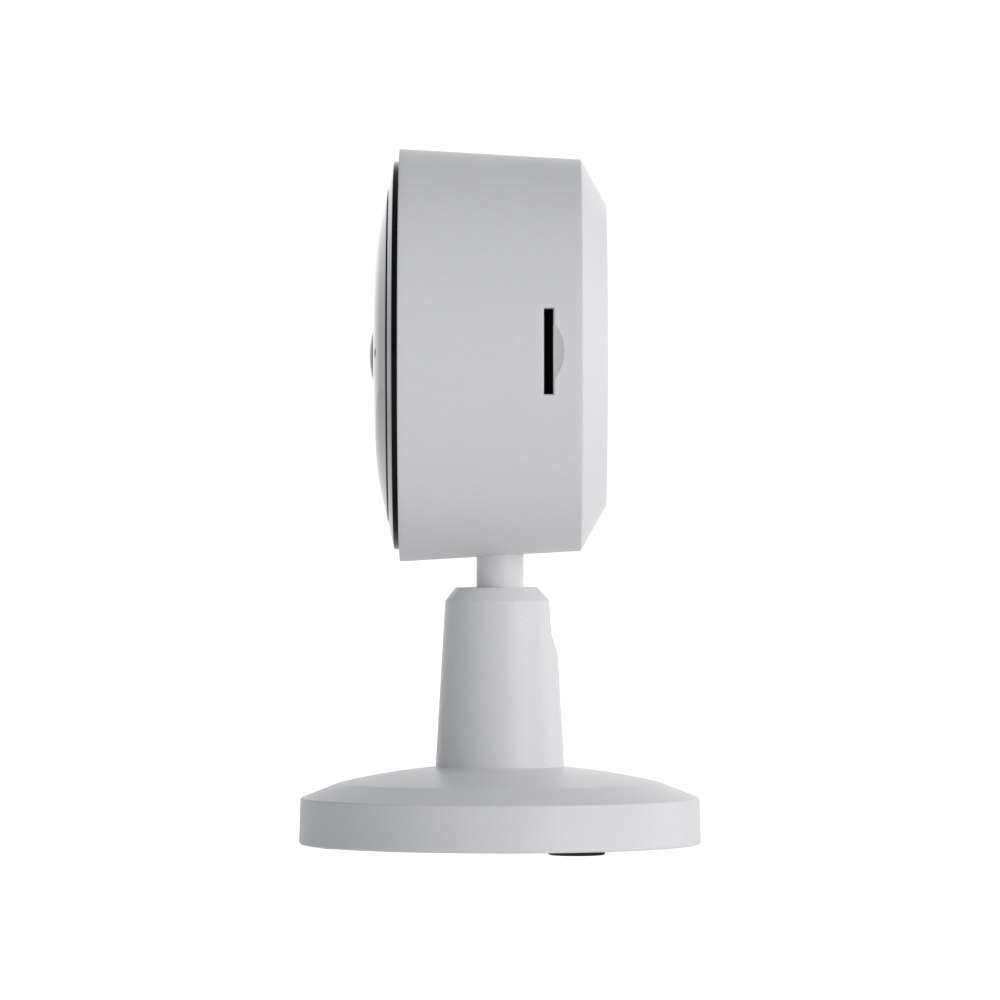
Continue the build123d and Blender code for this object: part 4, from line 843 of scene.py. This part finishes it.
hollow_outline = arc((0, 0), hollow_radius, -90, -46, 44)
hollow_outline[0].x = 0.0
hollow_outline += [Vector((hollow_outline[-1].x, hollow_lid)), Vector((0, hollow_lid))]
nail_cutter = lathe("nail_cutter", hollow_outline, about_hollow, 160)
halved = bmesh.new()
halved.from_mesh(nail_cutter.data)
everything = halved.verts[:] + halved.edges[:] + halved.faces[:]
cut_at = Vector((0, (slot_y + 0.1) * MM, 0))
cut = bmesh.ops.bisect_plane(halved, geom=everything, plane_co=cut_at, plane_no=(0, -1, 0), clear_outer=True)
bmesh.ops.holes_fill(halved, edges=[edge for edge in halved.edges if edge.is_boundary])
bmesh.ops.recalc_face_normals(halved, faces=halved.faces)
halved.to_mesh(nail_cutter.data)
halved.free()
carve(head_shell, nail_cutter, card_cutter)
print("slot at y", slot_y, "outer x", round(slot_outer_x, 2))

# %% [markdown]
# On the back, the speaker speaks through rings of small round holes, and the power socket lies in a
# shallow rounded recess. Each hole's edge is broken by a small chamfer, as a mould would leave it.

# %% Openings in the back
speaker_rise = 7.0
grille_rings, grille_pitch, grille_hole_radius = 4, 2.3, 0.6
button_x, button_z, button_radius = -11.0, 58.40, 1.5
usb_z = 54.40
recess_width, recess_height, recess_corner, recess_depth = 12.0, 8.0, 2.67, 0.6
opening_width, opening_height, opening_corner = 7.7, 2.7, 0.62


def back_hole(radius, chamfer=0.12, depth=3.0, columns=24):
    """A cutter for a round hole, upright on the neck's axis with its mouth at z = 0."""
    outline = [(0, -depth), (radius, -depth), (radius, -chamfer), (radius + 2 * chamfer, chamfer), (0, chamfer)]
    return lathe("back_hole", [Vector(point) for point in outline], about_neck, columns)


def face_the_back(cutter, x, z):
    """Turns an upright cutter so that its mouth lies in the back face at this place."""
    turn = Matrix.Rotation(math.radians(-90), 4, "X")
    cutter.data.transform(Matrix.Translation(Vector((x, back_y, z)) * MM) @ turn)
    return cutter


for ring in range(grille_rings):
    hole = back_hole(grille_hole_radius)
    holes = repeated("grille_holes", hole, max(1, 6 * ring), ring * grille_pitch, 0, white_plastic)
    carve(head_shell, face_the_back(holes, 0, head_z + speaker_rise))
button_hole = back_hole(button_radius + running_clearance, columns=48)
carve(head_shell, face_the_back(button_hole, button_x, button_z))


def socket_ring(width, height, corner, grow, depth, steps=8):
    """Points round a rectangle about the power socket, grown a little, this deep in the back."""
    width, height = width + grow, height + grow
    ring = []
    for turn, (side, rise) in zip((0, 90, 180, 270), ((1, 1), (-1, 1), (-1, -1), (1, -1))):
        for step in range(steps + 1):
            a = math.radians(turn + 90 * step / steps)
            across = side * (width / 2 - corner) + corner * math.cos(a)
            up = rise * (height / 2 - corner) + corner * math.sin(a)
            ring.append((across, back_y - depth, usb_z + up))
    return ring


recess_steps = (-0.17, -0.3, recess_depth), (-0.07, -0.1, 0.5), (0, 0, 0.12), (0.23, 0.5, -0.13)
usb_recess = loft("usb_recess", [
    socket_ring(recess_width, recess_height, recess_corner + round_off, grow, depth)
    for round_off, grow, depth in recess_steps
])
usb_opening = loft("usb_opening", [
    socket_ring(opening_width, opening_height, opening_corner + round_off, grow, depth)
    for round_off, grow, depth in ((0, 0, 3.0), (0, 0, 0.7), (0.2, 0.4, 0.5))
])
carve(head_shell, usb_recess, usb_opening)

# %% [markdown]
# Inside, the shell carries the boss that the stem turns in, three posts for the main board and a
# ring wall round the speaker. Nobody sees them on a shelf, but a section through the model does.

# %% Boss, posts and speaker wall
boss_radius, boss_low, boss_top = 6.2, 42.8, 46.99
washer_radius, washer_z, above_boss_z, below_boss_z = 5.6, 46.24, 48.0, 38.0
speaker_outer_radius, speaker_inner_radius, speaker_front_y, behind_wall_y = 11.1, 10.1, 9.47, 13.5
post_inset, board_post_radius, board_screw_radius, board_screw_length = 4.2, 2.4, 0.83, 5.0
board_post_angles = (90, 220, 320)


def level_tube(radius, x, z, front_y, back_end_y, columns=48):
    """A cylinder that runs from front to back inside the head."""
    made = tube(radius, front_y, back_end_y, columns, about_head)
    made.data.transform(Matrix.Translation((x * MM, 0, (z - head_z) * MM)))
    return made


speaker_z = head_z + speaker_rise
speaker_wall = level_tube(speaker_outer_radius, 0, speaker_z, speaker_front_y, behind_wall_y, 96)
carve(speaker_wall, level_tube(speaker_inner_radius, 0, speaker_z, 9.0, 14.0, 96))
carve(head_shell, tube(boss_radius, boss_low, boss_top, 96), speaker_wall, operation="UNION")
board_low, board_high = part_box("main_board")
post_radius_at = (board_high.x - board_low.x) / 2 / MM - post_inset
board_y = board_high.y / MM
for post_angle in board_post_angles:
    post_x = post_radius_at * math.cos(math.radians(post_angle))
    post_z = head_z + post_radius_at * math.sin(math.radians(post_angle))
    post = level_tube(board_post_radius, post_x, post_z, board_y, behind_wall_y)
    carve(head_shell, post, operation="UNION")
    carve(head_shell, level_tube(board_screw_radius, post_x, post_z, 5.0, board_y + board_screw_length, 24))
stem_hole = tube(stem_radius + running_clearance, below_boss_z, above_boss_z, 96)
carve(head_shell, tube(washer_radius, washer_z, above_boss_z, 96), stem_hole)
install(head_shell, white_plastic, "head", "white_plastic", "housing_shell")

# %% [markdown]
# The black ring round the front holds the dark panel. It stands a little proud of the drum, slopes
# gently towards the middle, and its skirt drops into the step in the shell's mouth. The floor of the
# tray behind the panel is part of the same moulding.

# %% Front ring
ring_radius, ring_front_y = 27.75, -15.1
ring_inner_radius = 24.05
ring_drop = 0.1
panel_radius = 23.85
panel_slope = math.radians(12.85)
bend_radius, bend_arc_radius = 20.2, 44.3
bend_y = ring_front_y - (ring_radius - bend_radius) * math.tan(panel_slope)
flat_radius = bend_radius - bend_arc_radius * math.sin(panel_slope)
panel_front_y = bend_y - bend_arc_radius * (1 - math.cos(panel_slope))
tray_front_y, tray_back_y, skirt_end_y = -14.6, -13.2, -11.35
barrel_hole_radius, skirt_inner_radius = 5.0, 26.25
sensor_post_x, sensor_post_z, sensor_post_radius, sensor_screw_radius = 13.4, 9.4, 2.0, 0.78


def front_y(radius, lift=0.0):
    """Depth of the front surface: flat in the middle, a wide arc, then a shallow cone."""
    if radius >= bend_radius:
        return bend_y + (radius - bend_radius) * math.tan(panel_slope) + lift
    out = max(0.0, radius - flat_radius)
    return panel_front_y + bend_arc_radius - math.sqrt(bend_arc_radius**2 - out**2) + lift


ring_outline = rounded([
    (barrel_hole_radius, tray_front_y, 0), (ring_inner_radius, tray_front_y, 0),
    (ring_inner_radius, front_y(ring_inner_radius, ring_drop), 0.12),
    (ring_radius, ring_front_y, 0.2), (ring_radius, skirt_end_y, 0.1), (skirt_inner_radius, skirt_end_y, 0.1),
    (skirt_inner_radius, tray_back_y, 0.3), (barrel_hole_radius, tray_back_y, 0),
])
front_ring = lathe("front_ring", spread(ring_outline, 0.8), about_head, 360)
for side, rise in ((-1, -1), (-1, 1), (1, -1), (1, 1)):
    x, z = sensor_post_x * side, head_z + sensor_post_z * rise
    carve(front_ring, level_tube(sensor_post_radius, x, z, -14.0, -1.0), operation="UNION")
    carve(front_ring, level_tube(sensor_screw_radius, x, z, -6.0, 0.0, 24))
install(front_ring, gloss_black, "head", "gloss_black", "front_frame")

# %% [markdown]
# The panel is a shallow dome of dark clear plastic that lets infrared light through. A gloss dome
# shows every facet, so its outline has many points. It has a hole for the lens, a small one for the
# status light and a pinhole for the microphone.

# %% Dark front panel
panel_thickness, panel_skirt_radius = 1.2, 22.55
status_light_x, status_hole_radius = 16.0, 0.675
microphone_rise, microphone_hole_radius = -15.0, 0.45
hole_bevel = 0.08


def dome_line(first, last, steps, lift=0.0):
    radii = [first + (last - first) * step / steps for step in range(steps + 1)]
    return [Vector((radius, front_y(radius, lift))) for radius in radii]


panel_edge = rounded([
    (panel_radius - 1.0, front_y(panel_radius - 1.0), 0), (panel_radius, front_y(panel_radius), 0.15),
    (panel_radius, tray_front_y, 0.1), (panel_skirt_radius, tray_front_y, 0.1),
    (panel_skirt_radius, front_y(panel_skirt_radius, panel_thickness), 0.3),
    (panel_skirt_radius - 1.5, front_y(panel_skirt_radius - 1.5, panel_thickness), 0),
])
lens_hole = [Vector((barrel_hole_radius + out, panel_front_y + deep)) for out, deep in (
    (0, panel_thickness), (0, 0.06), (0.06, 0),
)]
panel_outline = (
    lens_hole + dome_line(5.3, panel_radius - 1.4, 52) + panel_edge
    + dome_line(panel_skirt_radius - 2.0, 5.4, 24, panel_thickness)
)
front_panel = lathe("dark_panel_dome", panel_outline, about_head, 360)
for x, rise, radius in (
    (status_light_x, 0.0, status_hole_radius), (0.0, microphone_rise, microphone_hole_radius),
):
    spot_y = front_y(math.hypot(x, rise))
    mouth = radius + hole_bevel
    hole_outline = [
        (0, spot_y - 1), (mouth, spot_y - 1), (mouth, spot_y), (radius, spot_y + hole_bevel),
        (radius, -14.0), (0, -14.0),
    ]
    cutter = lathe("panel_hole", [Vector(point) for point in hole_outline], about_head, 32)
    cutter.data.transform(Matrix.Translation(Vector((x, 0, rise)) * MM))
    carve(front_panel, cutter)
install(front_panel, dark_panel, "head", "dark_panel", "front_panel", crease=30)

# %% [markdown]
# The end of the light pipe fills its hole almost flush. It is frosted, and its edge is slightly
# rounded, so it shows as a small pale dot beside the lens.

# %% Status light pipe
pipe_low, pipe_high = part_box("status_light_pipe")
pipe_front_y, pipe_back_y, pipe_radius = pipe_low.y / MM, pipe_high.y / MM, status_hole_radius - 0.05
pipe_outline = rounded([
    (0, pipe_front_y, 0), (pipe_radius, pipe_front_y, 0.12), (pipe_radius, pipe_back_y, 0.05), (0, pipe_back_y, 0),
])
pipe_end = lathe("light_pipe", spread(pipe_outline, 0.2), about_head, 40)
pipe_end.data.transform(Matrix.Translation((status_light_x * MM, 0, 0)))
install(pipe_end, light_pipe, "head", "light_pipe", "status_light_pipe")

# %% [markdown]
# The lens barrel is a black tube with a threaded tail. Its front lip and the bore behind the first
# glass carry fine steps, which catch stray light and give a lens its dark ringed look.

# %% Lens barrel
barrel_front_y = panel_front_y + 0.05
barrel_step_y, thread_end_y = tray_back_y + 0.05, tray_back_y + 6.15
flange_y = barrel_front_y + 0.4
element_seat_y = flange_y + 2.4
window_radius = 3.8
lip_radius, seat_radius, barrel_radius, barrel_bore_radius = window_radius + 0.05, 4.25, 4.9, 3.05
groove_count, groove_pitch, groove_depth = 3, 0.2, 0.06
thread_turns, thread_pitch, thread_root, thread_crest = 11, 0.5, 5.7, 6.0
baffle_count, baffle_pitch, baffle_radius = 9, 0.5, 3.2
barrel_corners = [(lip_radius, barrel_front_y + 0.02), (4.15, barrel_front_y + 0.02)]
for step in range(groove_count):
    groove = seat_radius + groove_pitch * step
    barrel_corners += [
        (groove, barrel_front_y), (groove + 0.05, barrel_front_y + groove_depth), (groove + 0.1, barrel_front_y),
    ]
barrel_corners += [
    (barrel_radius - 0.06, barrel_front_y), (barrel_radius, barrel_front_y + 0.06),
    (barrel_radius, barrel_step_y), (thread_root, barrel_step_y),
]
for turn in range(thread_turns):
    y = barrel_step_y + 0.2 + thread_pitch * turn
    barrel_corners += [
        (thread_root, y), (thread_crest, y + 0.2), (thread_crest, y + 0.28), (thread_root, y + 0.48),
    ]
barrel_corners += [(thread_root, thread_end_y), (barrel_bore_radius, thread_end_y)]
for step in range(baffle_count):
    y = thread_end_y - 0.3 - baffle_pitch * step
    barrel_corners += [(barrel_bore_radius, y), (baffle_radius, y - 0.2), (barrel_bore_radius, y - 0.25)]
barrel_corners += [
    (barrel_bore_radius, element_seat_y), (seat_radius, element_seat_y), (seat_radius, flange_y),
    (lip_radius, flange_y),
]
lens_barrel = lathe("lens_barrel_tube", [Vector(point) for point in barrel_corners], about_head, 160)
install(lens_barrel, black_plastic, "head", "black_plastic", "lens_barrel")

# %% [markdown]
# The first element of a wide lens is a meniscus: a low dome in front and a deep bowl behind. It is
# real glass here, with both of its faces, so the rings behind it bend and the coating tints it.

# %% Front glass
cap_radius, element_radius, lens_bulge = 13.2, 4.2, 0.72
tip_y = panel_front_y - lens_bulge
cap_angle = math.degrees(math.asin(window_radius / cap_radius))
bowl_radius, bowl_mouth = 3.5, 2.8
bowl_angle = math.degrees(math.asin(bowl_mouth / bowl_radius))
element_back_y = flange_y + 2.2
bowl_centre_y = element_back_y + math.sqrt(bowl_radius**2 - bowl_mouth**2)
front_cap = arc((0, tip_y + cap_radius), cap_radius, -90, -90 + cap_angle, 26)
back_bowl = arc((0, bowl_centre_y), bowl_radius, -90 + bowl_angle, -90, 30)
front_cap[0].x = back_bowl[-1].x = 0.0
flange = [Vector(point) for point in (
    (window_radius, flange_y + 0.05), (element_radius, flange_y + 0.05), (element_radius, element_back_y),
)]
front_glass = lathe("front_glass", front_cap + flange + back_bowl, about_head, 160)
install(front_glass, lens_glass, "head", "lens_glass", "lens_front_element", crease=35)

# %% [markdown]
# The reset button is a small cap with a dished face, just under the surface of the back, so that it
# is only pressed on purpose.

# %% Reset button
button_low, button_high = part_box("reset_button")
button_face = button_high.y / MM
button_inner_y = button_low.y / MM
print("button runs from", round(button_inner_y, 2), "to", round(button_face, 2), "mm")
dish_radius, dish_depth = 1.25, 0.12
collar_radius, collar_front_y, collar_back_y = 2.4, 12.1, 13.0
dish = [
    Vector((radius, button_face - dish_depth * (1 - (radius / dish_radius) ** 2)))
    for radius in (0.0, 0.3, 0.6, 0.9, 1.1)
]
button_outline = dish + rounded([
    (dish_radius, button_face, 0), (button_radius, button_face, 0.12), (button_radius, collar_back_y, 0),
    (collar_radius, collar_back_y, 0.1), (collar_radius, collar_front_y, 0.1), (button_radius, collar_front_y, 0),
    (button_radius, button_inner_y, 0.1), (0, button_inner_y, 0),
])
button = lathe("reset_cap", spread(button_outline, 0.4), about_head, 64)
button.data.transform(Matrix.Translation((button_x * MM, 0, (button_z - head_z) * MM)))
install(button, white_plastic, "button", "white_plastic", "reset_button")
